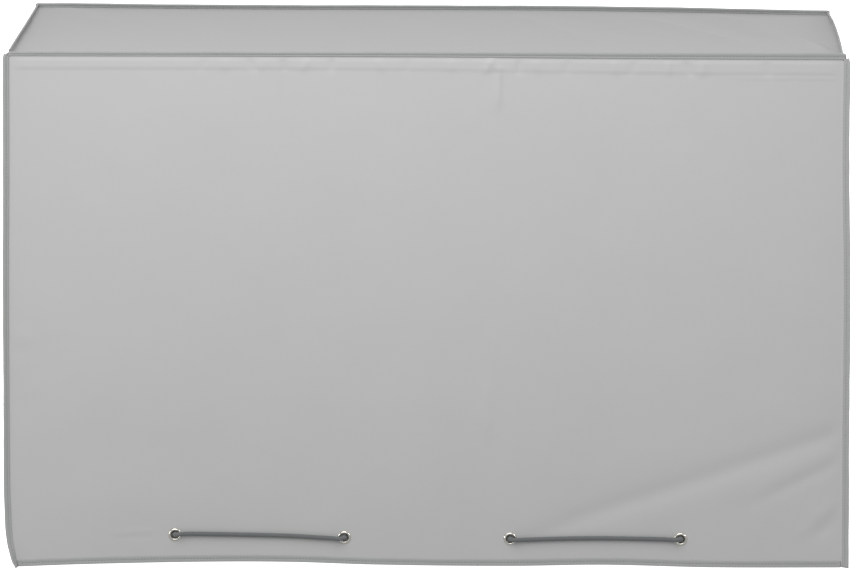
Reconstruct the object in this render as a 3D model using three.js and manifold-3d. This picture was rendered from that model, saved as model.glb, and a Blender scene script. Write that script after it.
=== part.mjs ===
// Fitted weather cover for an outdoor air conditioner. Five cut panels of coated cloth meet
// in seams that stand outward, each seam closed in a folded binding tape. The hem is bound
// with the same tape, and one elastic drawcord runs through twelve eyelets just above it.
// Millimetres, +Z up, the front towards -Y, the origin under the middle of the top panel.

import * as THREE from 'three';
import Module from 'manifold-3d';

const wasm = await Module();
wasm.setup();

// Driving dimensions
const WIDTH = 900;
const DEPTH = 400;
const HEIGHT = 560;
const CLOTH = 1;
const TAPE = 0.6;
const GAP = 0.3;
const ALLOWANCE = 7.2;
const TAPE_REACH = 8.4;
const TAPE_START = 0.8;
const TAPE_BEVEL = 0.5;
const HEM_TAPE = 7.4;
const CORD = 4.8;
const EYELET_HOLE = 8.6;
const EYELET_OUTSIDE = 14.4;
const EYELET_BARREL = 0.6;

// Sizes that follow from them
const LAYER = (CLOTH + GAP) / 2;
const TAPE_INSIDE = LAYER + CLOTH / 2 + GAP;
const TAPE_OUTSIDE = TAPE_INSIDE + TAPE;
const SEAM_END = 2.4;
const TRIMMED_END = 4;
const CORNER_COVER = 6.4;
const HEM_CLEARANCE = 1;
const HEM_LEG = HEM_TAPE - TAPE - GAP;
const HEM_ROW = HEIGHT - HEM_TAPE - HEM_CLEARANCE;
const LEG = CLOTH / 2 + GAP;
const HEM_CUT = { floor: 3, leg: 5, stub: 0.1 };

// Overall fullness of each panel, in millimetres at its middle
const FULLNESS = { front: 7, right: 5, back: 6, left: 5, top: 1.5 };
const SEAM_LEVEL = CLOTH / 2 - FULLNESS.top;

// Corners, counted from the front left. x and y say how far the corner line stands outside
// the plain box at each drop, and lean turns the seam from its first wall's plane.
const CORNERS = [
  {
    side: [-1, -1],
    rise: 1.2,
    hem: -3,
    line: [
      { drop: 0, x: -0.2, y: 0, lean: 47 },
      { drop: 0.2, x: 1.4, y: 0.6, lean: 43 },
      { drop: 0.45, x: 4.2, y: 1.6, lean: 45 },
      { drop: 0.7, x: 4.4, y: 2, lean: 47 },
      { drop: 0.88, x: 5, y: 1.5, lean: 50 },
      { drop: 0.95, x: 3.6, y: 0.5, lean: 57 },
      { drop: 0.984, x: 0.6, y: -0.2, lean: 65 },
      { drop: 1, x: -1.4, y: -0.5, lean: 66 },
    ],
  },
  {
    side: [1, -1],
    rise: -1.8,
    hem: -1.2,
    line: [
      { drop: 0, x: -0.8, y: 0, lean: 46 },
      { drop: 0.2, x: -0.2, y: 0.5, lean: 49 },
      { drop: 0.45, x: 3.2, y: 1.5, lean: 46 },
      { drop: 0.7, x: 3.6, y: 2.5, lean: 48 },
      { drop: 1, x: 5.2, y: 1.5, lean: 47 },
    ],
  },
  {
    side: [1, 1],
    rise: -3.6,
    hem: 0.5,
    line: [
      { drop: 0, x: 0.2, y: -1, lean: 44 },
      { drop: 0.4, x: 1.6, y: 1, lean: 47 },
      { drop: 0.75, x: 3, y: 2.5, lean: 42 },
      { drop: 1, x: 2, y: 1, lean: 46 },
    ],
  },
  {
    side: [-1, 1],
    rise: 3,
    hem: 1.5,
    line: [
      { drop: 0, x: -2.5, y: -1, lean: 46 },
      { drop: 0.35, x: 0.5, y: 1.5, lean: 43 },
      { drop: 0.7, x: 2.5, y: 2, lean: 47 },
      { drop: 1, x: 1, y: 1.5, lean: 44 },
    ],
  },
];

// Walls, each from its own corner to the next one round. The seam and hem rows say how far
// the edge bows out and up at a fraction of the wall, and how far the top seam leans
// forward from upright. Eyelets are placed across from the middle and down from the seam.
const WALLS = [
  {
    name: 'front',
    length: WIDTH,
    along: new THREE.Vector3(1, 0, 0),
    out: new THREE.Vector3(0, -1, 0),
    seam: [
      { at: 0, out: 0, up: 0, lean: 60 },
      { at: 0.25, out: 0.8, up: 0.9, lean: 57 },
      { at: 0.5, out: 0.4, up: 1.2, lean: 55 },
      { at: 0.75, out: 0.9, up: 0.4, lean: 48 },
      { at: 1, out: 0, up: 0, lean: 42 },
    ],
    hem: [
      { at: 0, out: 0, up: 0 },
      { at: 0.07, out: 0.5, up: 2.6 },
      { at: 0.25, out: -1.5, up: 5.5 },
      { at: 0.34, out: -1, up: 5.2 },
      { at: 0.43, out: 1, up: 3 },
      { at: 0.6, out: -0.5, up: 1.2 },
      { at: 0.71, out: -2, up: 2.3 },
      { at: 0.84, out: 1.5, up: 0.4 },
      { at: 1, out: 0, up: 0 },
    ],
    eyelets: [
      { across: -274, down: 529 },
      { across: -90, down: 530.4 },
      { across: 90, down: 529.6 },
      { across: 275, down: 529.2 },
    ],
  },
  {
    name: 'right',
    length: DEPTH,
    along: new THREE.Vector3(0, 1, 0),
    out: new THREE.Vector3(1, 0, 0),
    seam: [
      { at: 0, out: 0, up: 0, lean: 14 },
      { at: 0.3, out: -0.8, up: 0.6, lean: 20 },
      { at: 0.7, out: -0.6, up: 0.9, lean: 38 },
      { at: 1, out: 0, up: 0, lean: 50 },
    ],
    hem: [
      { at: 0, out: 0, up: 0 },
      { at: 0.35, out: -1.5, up: 1.8 },
      { at: 0.7, out: 1, up: 0.8 },
      { at: 1, out: 0, up: 0 },
    ],
    eyelets: [
      { across: -92, down: 529.5 },
      { across: 92, down: 529.5 },
    ],
  },
  {
    name: 'back',
    length: WIDTH,
    along: new THREE.Vector3(-1, 0, 0),
    out: new THREE.Vector3(0, 1, 0),
    seam: [
      { at: 0, out: 0, up: 0, lean: 40 },
      { at: 0.17, out: -0.6, up: 0.8, lean: 44 },
      { at: 0.33, out: -1, up: 1.6, lean: 47 },
      { at: 0.5, out: -1.2, up: 1, lean: 45 },
      { at: 0.7, out: -1, up: -0.1, lean: 42 },
      { at: 0.87, out: -0.4, up: -0.6, lean: 38 },
      { at: 1, out: 0, up: 0, lean: 34 },
    ],
    hem: [
      { at: 0, out: 0, up: 0 },
      { at: 0.3, out: 1.5, up: 1.6 },
      { at: 0.6, out: -1.5, up: 0.4 },
      { at: 0.85, out: 1, up: 1.4 },
      { at: 1, out: 0, up: 0 },
    ],
    eyelets: [
      { across: -276, down: 529.5 },
      { across: -92, down: 529.5 },
      { across: 92, down: 529.5 },
      { across: 276, down: 529.5 },
    ],
  },
  {
    name: 'left',
    length: DEPTH,
    along: new THREE.Vector3(0, -1, 0),
    out: new THREE.Vector3(-1, 0, 0),
    seam: [
      { at: 0, out: 0, up: 0, lean: 30 },
      { at: 0.35, out: -2.8, up: -0.4, lean: 34 },
      { at: 0.7, out: -2.8, up: 0.2, lean: 38 },
      { at: 1, out: 0, up: 0, lean: 42 },
    ],
    hem: [
      { at: 0, out: 0, up: 0 },
      { at: 0.4, out: 1.5, up: 1.2 },
      { at: 0.75, out: -1.5, up: 2.4 },
      { at: 1, out: 0, up: 0 },
    ],
    eyelets: [
      { across: -92, down: 529.5 },
      { across: 92, down: 529.5 },
    ],
  },
];

// Folds of each panel, one row each: where the fold's line starts and ends, its half width
// and its height, below zero for a trough. Walls count x from their middle along the wall
// and y down from the top seam. The top panel counts x and y from its middle.
const FOLDS = {
  front: [
    { x0: 75, y0: 2, x1: 71, y1: 66, half: 5.5, high: 2.4 },
    { x0: 71, y0: 56, x1: 64, y1: 170, half: 8, high: 1.1 },
    { x0: 66, y0: 345, x1: 68, y1: 425, half: 9, high: 1 },
    { x0: -154, y0: 4, x1: -150, y1: 104, half: 9, high: -1.7 },
    { x0: -341, y0: 10, x1: -337, y1: 140, half: 17, high: 1.4 },
    { x0: -316, y0: 20, x1: -312, y1: 120, half: 14, high: -1 },
    { x0: -286, y0: 20, x1: -292, y1: 200, half: 16, high: 1.4 },
    { x0: -222, y0: 10, x1: -228, y1: 220, half: 19, high: 1.5 },
    { x0: -190, y0: 4, x1: -184, y1: 180, half: 17, high: -1.3 },
    { x0: -128, y0: 12, x1: -124, y1: 120, half: 16, high: 1.5 },
    { x0: -72, y0: 8, x1: -28, y1: 104, half: 15, high: -1.4 },
    { x0: -40, y0: 40, x1: -44, y1: 200, half: 19, high: 1.5 },
    { x0: 36, y0: 6, x1: 48, y1: 90, half: 15, high: 1.3 },
    { x0: 150, y0: 20, x1: 178, y1: 110, half: 20, high: 1.2 },
    { x0: 300, y0: 10, x1: 330, y1: 130, half: 22, high: -1.2 },
    { x0: 500, y0: 356, x1: 90, y1: 494, half: 34, high: 3.2 },
    { x0: 520, y0: 377, x1: 84, y1: 530, half: 20, high: -5.5 },
    { x0: 480, y0: 420, x1: 170, y1: 530, half: 19, high: 3 },
    { x0: 470, y0: 426, x1: 366, y1: 478, half: 13, high: -3.2 },
    { x0: 470, y0: 462, x1: 404, y1: 512, half: 12, high: 2.4 },
    { x0: 470, y0: 486, x1: 414, y1: 530, half: 13, high: -2.6 },
    { x0: 408, y0: 130, x1: 412, y1: 600, half: 38, high: 3.6 },
    { x0: -470, y0: 446, x1: -190, y1: 436, half: 36, high: -3.8 },
    { x0: -182, y0: 420, x1: -110, y1: 530, half: 24, high: -1.8 },
    { x0: -470, y0: 350, x1: -396, y1: 372, half: 16, high: 1.4 },
  ],
  right: [
    { x0: -150, y0: 120, x1: -120, y1: 520, half: 30, high: 2.4 },
    { x0: -60, y0: 30, x1: -40, y1: 260, half: 26, high: -2 },
    { x0: 40, y0: 200, x1: 70, y1: 560, half: 34, high: 3 },
    { x0: 150, y0: 60, x1: 120, y1: 400, half: 28, high: -2.2 },
  ],
  back: [
    { x0: -330, y0: 20, x1: -318, y1: 260, half: 30, high: 2.4 },
    { x0: -180, y0: 10, x1: -196, y1: 200, half: 28, high: -2 },
    { x0: -60, y0: 30, x1: -70, y1: 330, half: 34, high: 2.6 },
    { x0: 110, y0: 10, x1: 124, y1: 220, half: 28, high: -2 },
    { x0: 250, y0: 40, x1: 232, y1: 300, half: 30, high: 2.4 },
    { x0: 480, y0: 400, x1: 160, y1: 500, half: 32, high: -3.4 },
    { x0: -480, y0: 430, x1: -220, y1: 492, half: 34, high: 3 },
  ],
  left: [
    { x0: -140, y0: 60, x1: -120, y1: 420, half: 28, high: -2.2 },
    { x0: -40, y0: 160, x1: -60, y1: 560, half: 34, high: 2.8 },
    { x0: 60, y0: 20, x1: 40, y1: 280, half: 26, high: 2 },
    { x0: 200, y0: 340, x1: 90, y1: 392, half: 24, high: -2.4 },
  ],
  top: [
    { x0: 92, y0: 150, x1: 186, y1: -110, half: 17, high: 2.6 },
    { x0: 150, y0: 160, x1: 236, y1: -70, half: 19, high: -1.6 },
    { x0: 214, y0: 160, x1: 372, y1: -134, half: 17, high: 2.8 },
    { x0: 284, y0: 150, x1: 400, y1: -70, half: 16, high: -1.8 },
    { x0: 308, y0: 210, x1: 462, y1: -200, half: 17, high: 3 },
    { x0: -436, y0: 220, x1: -340, y1: 36, half: 18, high: 2.6 },
    { x0: -300, y0: 120, x1: -190, y1: -150, half: 26, high: 1.6 },
    { x0: -60, y0: 150, x1: 20, y1: -150, half: 28, high: 1.8 },
  ],
};

// Grid lines of each panel: fixed lines where something sharp happens, the rest spread out
const GRIDS = {
  front: { step: 27, creases: [60, 67, 74], rows: [10, 32], drop: 27 },
  right: { step: 46, creases: [], rows: [24], drop: 62 },
  back: { step: 55, creases: [], rows: [24], drop: 62 },
  left: { step: 46, creases: [], rows: [24], drop: 48 },
  top: { step: 31, drop: 36 },
};
const EYELET_CELL = 9;
const EYELET_ROWS = [518.5, 539.5];
const SEAM_BLEND = 24;
const EYELET_BLEND = [13, 40];
const CORNER_BINDING_STEP = 56;
const TOP_BINDING_STEP = 60;
const FOLD_TAPER = { start: 0.25, end: 0.7 };
const NORMAL_REACH = 2;

const COLOURS = {
  cloth: { color: '#b6b8b7', roughness: 0.72, metalness: 0 },
  tape: { color: '#a2a4a3', roughness: 0.85, metalness: 0 },
  nickel: { color: '#d6d3cc', roughness: 0.28, metalness: 1 },
  elastic: { color: '#65696a', roughness: 0.9, metalness: 0 },
};

const { clamp, degToRad, lerp, smoothstep } = THREE.MathUtils;

// A smooth reading of one named column of a table
function column(rows, key, name) {
  const spline = new THREE.CubicInterpolant(rows.map((row) => row[key]), rows.map((row) => row[name]), 1);
  return (at) => spline.evaluate(clamp(at, 0, 1))[0];
}

// Evenly spread lines between fixed stops, no further apart than the step
function spread(stops, step) {
  const lines = [stops[0]];
  for (let k = 1; k < stops.length; k += 1) {
    const parts = Math.max(1, Math.round((stops[k] - stops[k - 1]) / step));
    for (let part = 1; part <= parts; part += 1) {
      lines.push(lerp(stops[k - 1], stops[k], part / parts));
    }
  }
  return lines;
}

for (const corner of CORNERS) {
  for (const name of ['x', 'y', 'lean']) {
    corner[name] = column(corner.line, 'drop', name);
  }
}
for (const wall of WALLS) {
  wall.seamOut = column(wall.seam, 'at', 'out');
  wall.seamUp = column(wall.seam, 'at', 'up');
  wall.seamLean = column(wall.seam, 'at', 'lean');
  wall.hemOut = column(wall.hem, 'at', 'out');
  wall.hemUp = column(wall.hem, 'at', 'up');
}

// The corner line between two walls, from the top seam (0) to the hem (1)
function cornerPoint(index, drop) {
  const corner = CORNERS[index % CORNERS.length];
  return new THREE.Vector3(
    corner.side[0] * (WIDTH / 2 + corner.x(drop)),
    corner.side[1] * (DEPTH / 2 + corner.y(drop)),
    SEAM_LEVEL + lerp(corner.rise, corner.hem - HEIGHT, drop),
  );
}

// A wall's upper or lower edge at a fraction of its way round
function edgePoint(index, drop, at) {
  const wall = WALLS[index];
  const point = cornerPoint(index, drop).lerp(cornerPoint(index + 1, drop), at);
  point.addScaledVector(wall.out, drop ? wall.hemOut(at) : wall.seamOut(at));
  point.z += drop ? wall.hemUp(at) : wall.seamUp(at);
  return point;
}

// A surface stretched between four edge curves, each given as a function from 0 to 1
function stretched(near, far, first, last, s, t) {
  const point = near(s).multiplyScalar(1 - t).addScaledVector(far(s), t);
  point.addScaledVector(first(t), 1 - s).addScaledVector(last(t), s);
  point.addScaledVector(near(0), -(1 - s) * (1 - t)).addScaledVector(near(1), -s * (1 - t));
  return point.addScaledVector(far(0), -(1 - s) * t).addScaledVector(far(1), -s * t);
}

// Height of the folds at one place, each with a soft section and tapered ends
function foldHeight(folds, x, y) {
  let height = 0;
  for (const fold of folds) {
    const run = new THREE.Vector2(fold.x1 - fold.x0, fold.y1 - fold.y0);
    const offset = new THREE.Vector2(x - fold.x0, y - fold.y0);
    const part = offset.dot(run) / run.lengthSq();
    const aside = offset.cross(run) / run.length() / fold.half;
    const ends = smoothstep(part, 0, FOLD_TAPER.start) * (1 - smoothstep(part, FOLD_TAPER.end, 1));
    height += fold.high * Math.exp(-aside * aside) * ends;
  }
  return height;
}

// The middle of a wall's cloth, across from the wall's middle and down from its seam
function wallPoint(index, across, down) {
  const wall = WALLS[index];
  const s = across / wall.length + 0.5;
  const t = down / HEIGHT;
  const point = stretched(
    (at) => edgePoint(index, 0, at),
    (at) => edgePoint(index, 1, at),
    (drop) => cornerPoint(index, drop),
    (drop) => cornerPoint(index + 1, drop),
    s,
    t,
  );
  const full = (1 - (2 * s - 1) ** 4) * (1 - (2 * t - 1) ** 2) * FULLNESS[wall.name];
  let blend = smoothstep(down, 0, SEAM_BLEND);
  blend *= smoothstep(wall.length / 2 - Math.abs(across), 0, SEAM_BLEND);
  for (const eyelet of wall.eyelets) {
    const away = Math.hypot(across - eyelet.across, down - eyelet.down);
    blend *= smoothstep(away, ...EYELET_BLEND);
  }
  return point.addScaledVector(wall.out, full + blend * foldHeight(FOLDS[wall.name], across, down));
}

// The middle of the top panel's cloth
function topPoint(x, y) {
  const s = x / WIDTH + 0.5;
  const t = y / DEPTH + 0.5;
  const point = stretched(
    (at) => edgePoint(0, 0, at),
    (at) => edgePoint(2, 0, 1 - at),
    (at) => edgePoint(3, 0, 1 - at),
    (at) => edgePoint(1, 0, at),
    s,
    t,
  );
  const full = (1 - (2 * s - 1) ** 2) * (1 - (2 * t - 1) ** 2) * FULLNESS.top;
  let blend = smoothstep(WIDTH / 2 - Math.abs(x), 0, SEAM_BLEND);
  blend *= smoothstep(DEPTH / 2 - Math.abs(y), 0, SEAM_BLEND);
  point.z += full + blend * foldHeight(FOLDS.top, x, y);
  return point;
}

// A point on the cloth moved along the cloth's own normal
function offCloth(surface, x, y, offset) {
  const across = surface(x + NORMAL_REACH, y).sub(surface(x - NORMAL_REACH, y));
  const down = surface(x, y + NORMAL_REACH).sub(surface(x, y - NORMAL_REACH));
  return surface(x, y).addScaledVector(down.cross(across).normalize(), offset);
}

// The standing part of a seam at one place: b points along it, n to its first panel's side
function seamFrame(point, plane, out, lean) {
  const angle = degToRad(lean);
  const b = plane.clone().multiplyScalar(Math.cos(angle)).addScaledVector(out, Math.sin(angle));
  const n = plane.clone().multiplyScalar(-Math.sin(angle)).addScaledVector(out, Math.cos(angle));
  const shift = LAYER * (Math.cos(angle) - Math.sin(angle));
  return { origin: point.clone().addScaledVector(n, -shift), b, n };
}

function cornerSeam(index, drop) {
  const corner = index % CORNERS.length;
  const wall = WALLS[corner];
  const plane = wall.along.clone().negate();
  return seamFrame(cornerPoint(corner, drop), plane, wall.out, CORNERS[corner].lean(drop));
}

function topSeam(index, at) {
  const wall = WALLS[index];
  return seamFrame(edgePoint(index, 0, at), new THREE.Vector3(0, 0, 1), wall.out, wall.seamLean(at));
}

// A place on a standing seam: up along it and aside from its middle
function onSeam(frame, up, aside) {
  return frame.origin.clone().addScaledVector(frame.b, up).addScaledVector(frame.n, aside);
}

// How far inside the seam line a panel turns out, for a layer offset from its middle
function turnInset(lean, offset) {
  const angle = degToRad(lean);
  const slack = LAYER * (1 - Math.cos(angle) + Math.sin(angle));
  return (slack + offset * (1 - Math.cos(angle))) / Math.sin(angle);
}

// A geometry from points and triangles, turned outward if it came out inside out
function geometryFrom(points, triangles) {
  let volume = 0;
  for (const [a, b, c] of triangles) {
    volume += points[a].dot(points[b].clone().cross(points[c]));
  }
  const faces = volume < 0 ? triangles.map(([a, b, c]) => [a, c, b]) : triangles;
  const geometry = new THREE.BufferGeometry();
  const positions = points.flatMap((point) => point.toArray());
  geometry.setAttribute('position', new THREE.Float32BufferAttribute(positions, 3));
  geometry.setIndex(faces.flat());
  return geometry;
}

// A sheet with a thickness, over the grid cells that are present
function sheetGeometry(columns, rows, place, present) {
  const points = [];
  const triangles = [];
  const numbers = new Map();
  const number = (i, j, face) => {
    const key = `${i} ${j} ${face}`;
    if (!numbers.has(key)) {
      numbers.set(key, points.length);
      points.push(place(i, j, face * (CLOTH / 2)));
    }
    return numbers.get(key);
  };
  const quad = (a, b, c, d) => triangles.push([a, b, d], [b, c, d]);
  const filled = (i, j) => i >= 0 && j >= 0 && i < columns && j < rows && present(i, j);
  for (let i = 0; i < columns; i += 1) {
    for (let j = 0; j < rows; j += 1) {
      if (filled(i, j)) {
        const ring = [[i, j], [i + 1, j], [i + 1, j + 1], [i, j + 1]];
        const outer = ring.map(([p, q]) => number(p, q, 1));
        const inner = ring.map(([p, q]) => number(p, q, -1));
        quad(...outer);
        triangles.push([inner[0], inner[3], inner[1]], [inner[1], inner[3], inner[2]]);
        const beside = [[i, j - 1], [i + 1, j], [i, j + 1], [i - 1, j]];
        beside.forEach(([p, q], edge) => {
          if (!filled(p, q)) {
            const next = (edge + 1) % 4;
            quad(outer[next], outer[edge], inner[edge], inner[next]);
          }
        });
      }
    }
  }
  return geometryFrom(points, triangles);
}

// A solid through a row of like sections, each a ring of points, with flat ends
function loft(sections, outline) {
  const count = outline.length;
  const points = sections.flat();
  const triangles = [];
  for (let k = 0; k + 1 < sections.length; k += 1) {
    for (let m = 0; m < count; m += 1) {
      const a = k * count + m;
      const b = k * count + ((m + 1) % count);
      triangles.push([a, b, a + count], [b, b + count, a + count]);
    }
  }
  const last = (sections.length - 1) * count;
  const clockwise = THREE.ShapeUtils.isClockWise(outline);
  for (const [a, b, c] of THREE.ShapeUtils.triangulateShape(outline, [])) {
    const [p, q] = clockwise ? [c, b] : [b, c];
    triangles.push([a, q, p], [last + a, last + p, last + q]);
  }
  return geometryFrom(points, triangles);
}

// Rows and columns of a panel: its field, and one more line past each seam
function wallLines(index) {
  const wall = WALLS[index];
  const grid = GRIDS[wall.name];
  const half = wall.length / 2;
  const stops = wall.eyelets.flatMap(({ across }) => [across - EYELET_CELL, across + EYELET_CELL]);
  const columns = spread([-half, ...grid.creases, ...stops, half].sort((a, b) => a - b), grid.step);
  const rows = spread([0, ...grid.rows, ...EYELET_ROWS, HEM_ROW, HEIGHT], grid.drop);
  return { columns, rows };
}

// A place on a wall's cloth by grid line, moved off its middle and, past a seam, out to a reach
function wallPlace(index, i, j, offset, reach = ALLOWANCE) {
  const wall = WALLS[index];
  const { columns, rows } = wallLines(index);
  const half = wall.length / 2;
  const across = columns[clamp(i - 1, 0, columns.length - 1)];
  const down = j > 0 ? rows[j - 1] : 0;
  const at = across / wall.length + 0.5;
  const seamDown = turnInset(wall.seamLean(at), offset);
  const sunk = Math.max(down, seamDown);
  const end = i > columns.length / 2 ? 1 : 0;
  const aside = end ? -1 : 1;
  if (i === 0 || i === columns.length + 1) {
    const frame = cornerSeam(index + end, Math.max(sunk, TRIMMED_END) / HEIGHT);
    return onSeam(frame, reach, aside * (LAYER + offset));
  }
  if (j === 0) {
    const trimmed = clamp(across, TRIMMED_END - half, half - TRIMMED_END) / wall.length + 0.5;
    return onSeam(topSeam(index, trimmed), reach, LAYER + offset);
  }
  if (i === 1 || i === columns.length) {
    const lean = CORNERS[(index + end) % 4].lean(sunk / HEIGHT);
    const point = cornerPoint(index + end, sunk / HEIGHT).addScaledVector(wall.out, offset);
    return point.addScaledVector(wall.along, aside * turnInset(end ? 90 - lean : lean, offset));
  }
  if (j === 1) {
    const point = edgePoint(index, 0, at).addScaledVector(wall.out, offset);
    point.z -= seamDown;
    return point;
  }
  return offCloth((x, y) => wallPoint(index, x, y), across, down, offset);
}

function wallGeometry(index) {
  const { columns, rows } = wallLines(index);
  const place = (i, j, offset) => wallPlace(index, i, j, offset);
  const present = (i, j) => j > 0 || (i > 0 && i < columns.length);
  return sheetGeometry(columns.length + 1, rows.length, place, present);
}

function topGeometry() {
  const grid = GRIDS.top;
  const columns = spread([-WIDTH / 2, WIDTH / 2], grid.step);
  const rows = spread([-DEPTH / 2, DEPTH / 2], grid.drop);
  const sides = [columns.length, rows.length];
  const place = (i, j, offset) => {
    const x = columns[clamp(i - 1, 0, columns.length - 1)];
    const y = rows[clamp(j - 1, 0, rows.length - 1)];
    const fractions = [x / WIDTH + 0.5, y / DEPTH + 0.5, 0.5 - x / WIDTH, 0.5 - y / DEPTH];
    const wall = [j <= 1, i >= sides[0], j >= sides[1], i <= 1].indexOf(true);
    const insets = WALLS.map((each, k) => turnInset(90 - each.seamLean(fractions[k]), offset));
    if (i === 0 || i > sides[0] || j === 0 || j > sides[1]) {
      const side = [j === 0, i > sides[0], j > sides[1], i === 0].indexOf(true);
      const trim = TRIMMED_END / WALLS[side].length;
      const frame = topSeam(side, clamp(fractions[side], trim, 1 - trim));
      return onSeam(frame, ALLOWANCE, -(LAYER + offset));
    }
    if (wall < 0) {
      return offCloth((a, b) => topPoint(a, -b), x, -y, offset);
    }
    const point = topPoint(x, y);
    point.z += offset;
    point.x += i === 1 ? insets[3] : 0;
    point.x -= i === sides[0] ? insets[1] : 0;
    point.y += j === 1 ? insets[0] : 0;
    point.y -= j === sides[1] ? insets[2] : 0;
    return point;
  };
  const present = (i, j) => {
    const outside = (i === 0 || i === sides[0]) + (j === 0 || j === sides[1]);
    return outside < 2;
  };
  return sheetGeometry(sides[0] + 1, sides[1] + 1, place, present);
}

// Folded tape over a standing seam: two legs joined past the cloth's edge
const BINDING_OUTLINE = [
  [TAPE_START, TAPE_OUTSIDE],
  [TAPE_REACH - TAPE_BEVEL, TAPE_OUTSIDE],
  [TAPE_REACH, TAPE_OUTSIDE - TAPE_BEVEL],
  [TAPE_REACH, TAPE_BEVEL - TAPE_OUTSIDE],
  [TAPE_REACH - TAPE_BEVEL, -TAPE_OUTSIDE],
  [TAPE_START, -TAPE_OUTSIDE],
  [TAPE_START, -TAPE_INSIDE],
  [TAPE_REACH - TAPE, -TAPE_INSIDE],
  [TAPE_REACH - TAPE, TAPE_INSIDE],
  [TAPE_START, TAPE_INSIDE],
].map(([up, aside]) => new THREE.Vector2(up, aside));

function bindingGeometry(frames) {
  const sections = frames.map((frame) => BINDING_OUTLINE.map(({ x, y }) => onSeam(frame, x, y)));
  return loft(sections, BINDING_OUTLINE);
}

function cornerBinding(index) {
  const drops = spread([SEAM_END, ...EYELET_ROWS, HEIGHT - HEM_LEG - GAP], CORNER_BINDING_STEP);
  return bindingGeometry(drops.map((drop) => cornerSeam(index, drop / HEIGHT)));
}

// The front and back tapes run out over the corners, and the side tapes stop between them
function topBinding(index, over) {
  const { length, along } = WALLS[index];
  const ends = over ? CORNER_COVER : -SEAM_END;
  const steps = spread([-length / 2 - ends, length / 2 + ends], TOP_BINDING_STEP);
  const frames = steps.map((across) => {
    const at = clamp(across, -length / 2, length / 2) / length + 0.5;
    const frame = topSeam(index, at);
    frame.origin.addScaledVector(along, across - (at - 0.5) * length);
    return frame;
  });
  return bindingGeometry(frames);
}

// Folded tape over the hem. Its outer leg turns out along the standing seam at both ends,
// where the inner leg is cut away and the tape's floor stops short of the next wall's.
function hemBinding(index) {
  const { columns, rows } = wallLines(index);
  const bottom = rows.length;
  const floor = -GAP;
  const section = (inner, innerTop, place) => [
    place(LEG + TAPE, HEM_LEG),
    place(LEG + TAPE, floor - TAPE),
    place(-inner - TAPE, floor - TAPE),
    place(-inner - TAPE, innerTop),
    place(-inner, innerTop),
    place(-inner, floor),
    place(LEG, floor),
    place(LEG, HEM_LEG),
  ];
  const cutInner = LAYER - GAP / 2 - TAPE;
  const cutTop = floor + HEM_CUT.stub;
  const outline = section(LEG, HEM_LEG, (aside, up) => new THREE.Vector2(aside, up));
  const last = columns.length;
  const cell = columns[1] - columns[0];
  const lines = [
    { line: 0, inner: cutInner, top: cutTop },
    { line: 1, inner: cutInner, top: cutTop },
    { line: 1 + HEM_CUT.floor / cell, inner: LEG, top: cutTop },
    { line: 1 + HEM_CUT.leg / cell, inner: LEG, top: HEM_LEG },
    ...columns.slice(1, -1).map((_, k) => ({ line: k + 2, inner: LEG, top: HEM_LEG })),
    { line: last - HEM_CUT.leg / cell, inner: LEG, top: HEM_LEG },
    { line: last - HEM_CUT.floor / cell, inner: LEG, top: cutTop },
    { line: last, inner: cutInner, top: cutTop },
    { line: last + 1, inner: cutInner, top: cutTop },
  ];
  const placeOn = (i, aside, up) => {
    const low = wallPlace(index, i, bottom, aside, TAPE_REACH);
    const rise = wallPlace(index, i, bottom - 1, aside, TAPE_REACH).sub(low).normalize();
    return low.addScaledVector(rise, up);
  };
  const sections = lines.map(({ line, inner, top }) => section(inner, top, (aside, up) => {
    const before = Math.floor(line);
    const part = line - before;
    const point = placeOn(before, aside, up);
    return part ? point.lerp(placeOn(before + 1, aside, up), part) : point;
  }));
  return loft(sections, outline);
}

// Where an eyelet sits: the flat cell of cloth round it
function eyeletFrame(index, { across, down }) {
  const corner = (x, y) => wallPoint(index, across + x * EYELET_CELL, EYELET_ROWS[y]);
  const s = (down - EYELET_ROWS[0]) / (EYELET_ROWS[1] - EYELET_ROWS[0]);
  const low = corner(-1, 1).lerp(corner(1, 1), 0.5);
  const high = corner(-1, 0).lerp(corner(1, 0), 0.5);
  const along = corner(1, 0).sub(corner(-1, 1)).add(corner(1, 1).sub(corner(-1, 0))).normalize();
  const out = corner(1, 0).sub(corner(-1, 1)).cross(corner(1, 1).sub(corner(-1, 0))).normalize();
  out.multiplyScalar(Math.sign(out.dot(WALLS[index].out)));
  return { centre: high.lerp(low, s), along, out };
}

const SPIN = new THREE.Vector3(0, 1, 0);
const EYELET_SIDES = 10;
const ROD_HALF = 4;

// Two flanges joined by a barrel, the outer one rolled over
const FLANGE = { thick: 0.6, mouth: 0.7, crown: 1.3, shoulder: 1, round: 0.8, edge: 0.3 };
const EYELET_PROFILE = [
  [EYELET_HOLE / 2, -LEG - FLANGE.thick],
  [EYELET_HOLE / 2, LEG + FLANGE.mouth],
  [EYELET_HOLE / 2 + FLANGE.round, LEG + FLANGE.crown],
  [EYELET_OUTSIDE / 2 - FLANGE.round, LEG + FLANGE.shoulder],
  [EYELET_OUTSIDE / 2, LEG],
  [EYELET_HOLE / 2 + EYELET_BARREL, LEG],
  [EYELET_HOLE / 2 + EYELET_BARREL, -LEG],
  [EYELET_OUTSIDE / 2, -LEG],
  [EYELET_OUTSIDE / 2 - FLANGE.edge, -LEG - FLANGE.thick],
].map(([radius, out]) => new THREE.Vector2(radius, out));

function eyeletGeometry() {
  const profile = [...EYELET_PROFILE, EYELET_PROFILE[0]].reverse();
  return new THREE.LatheGeometry(profile, EYELET_SIDES);
}

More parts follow.
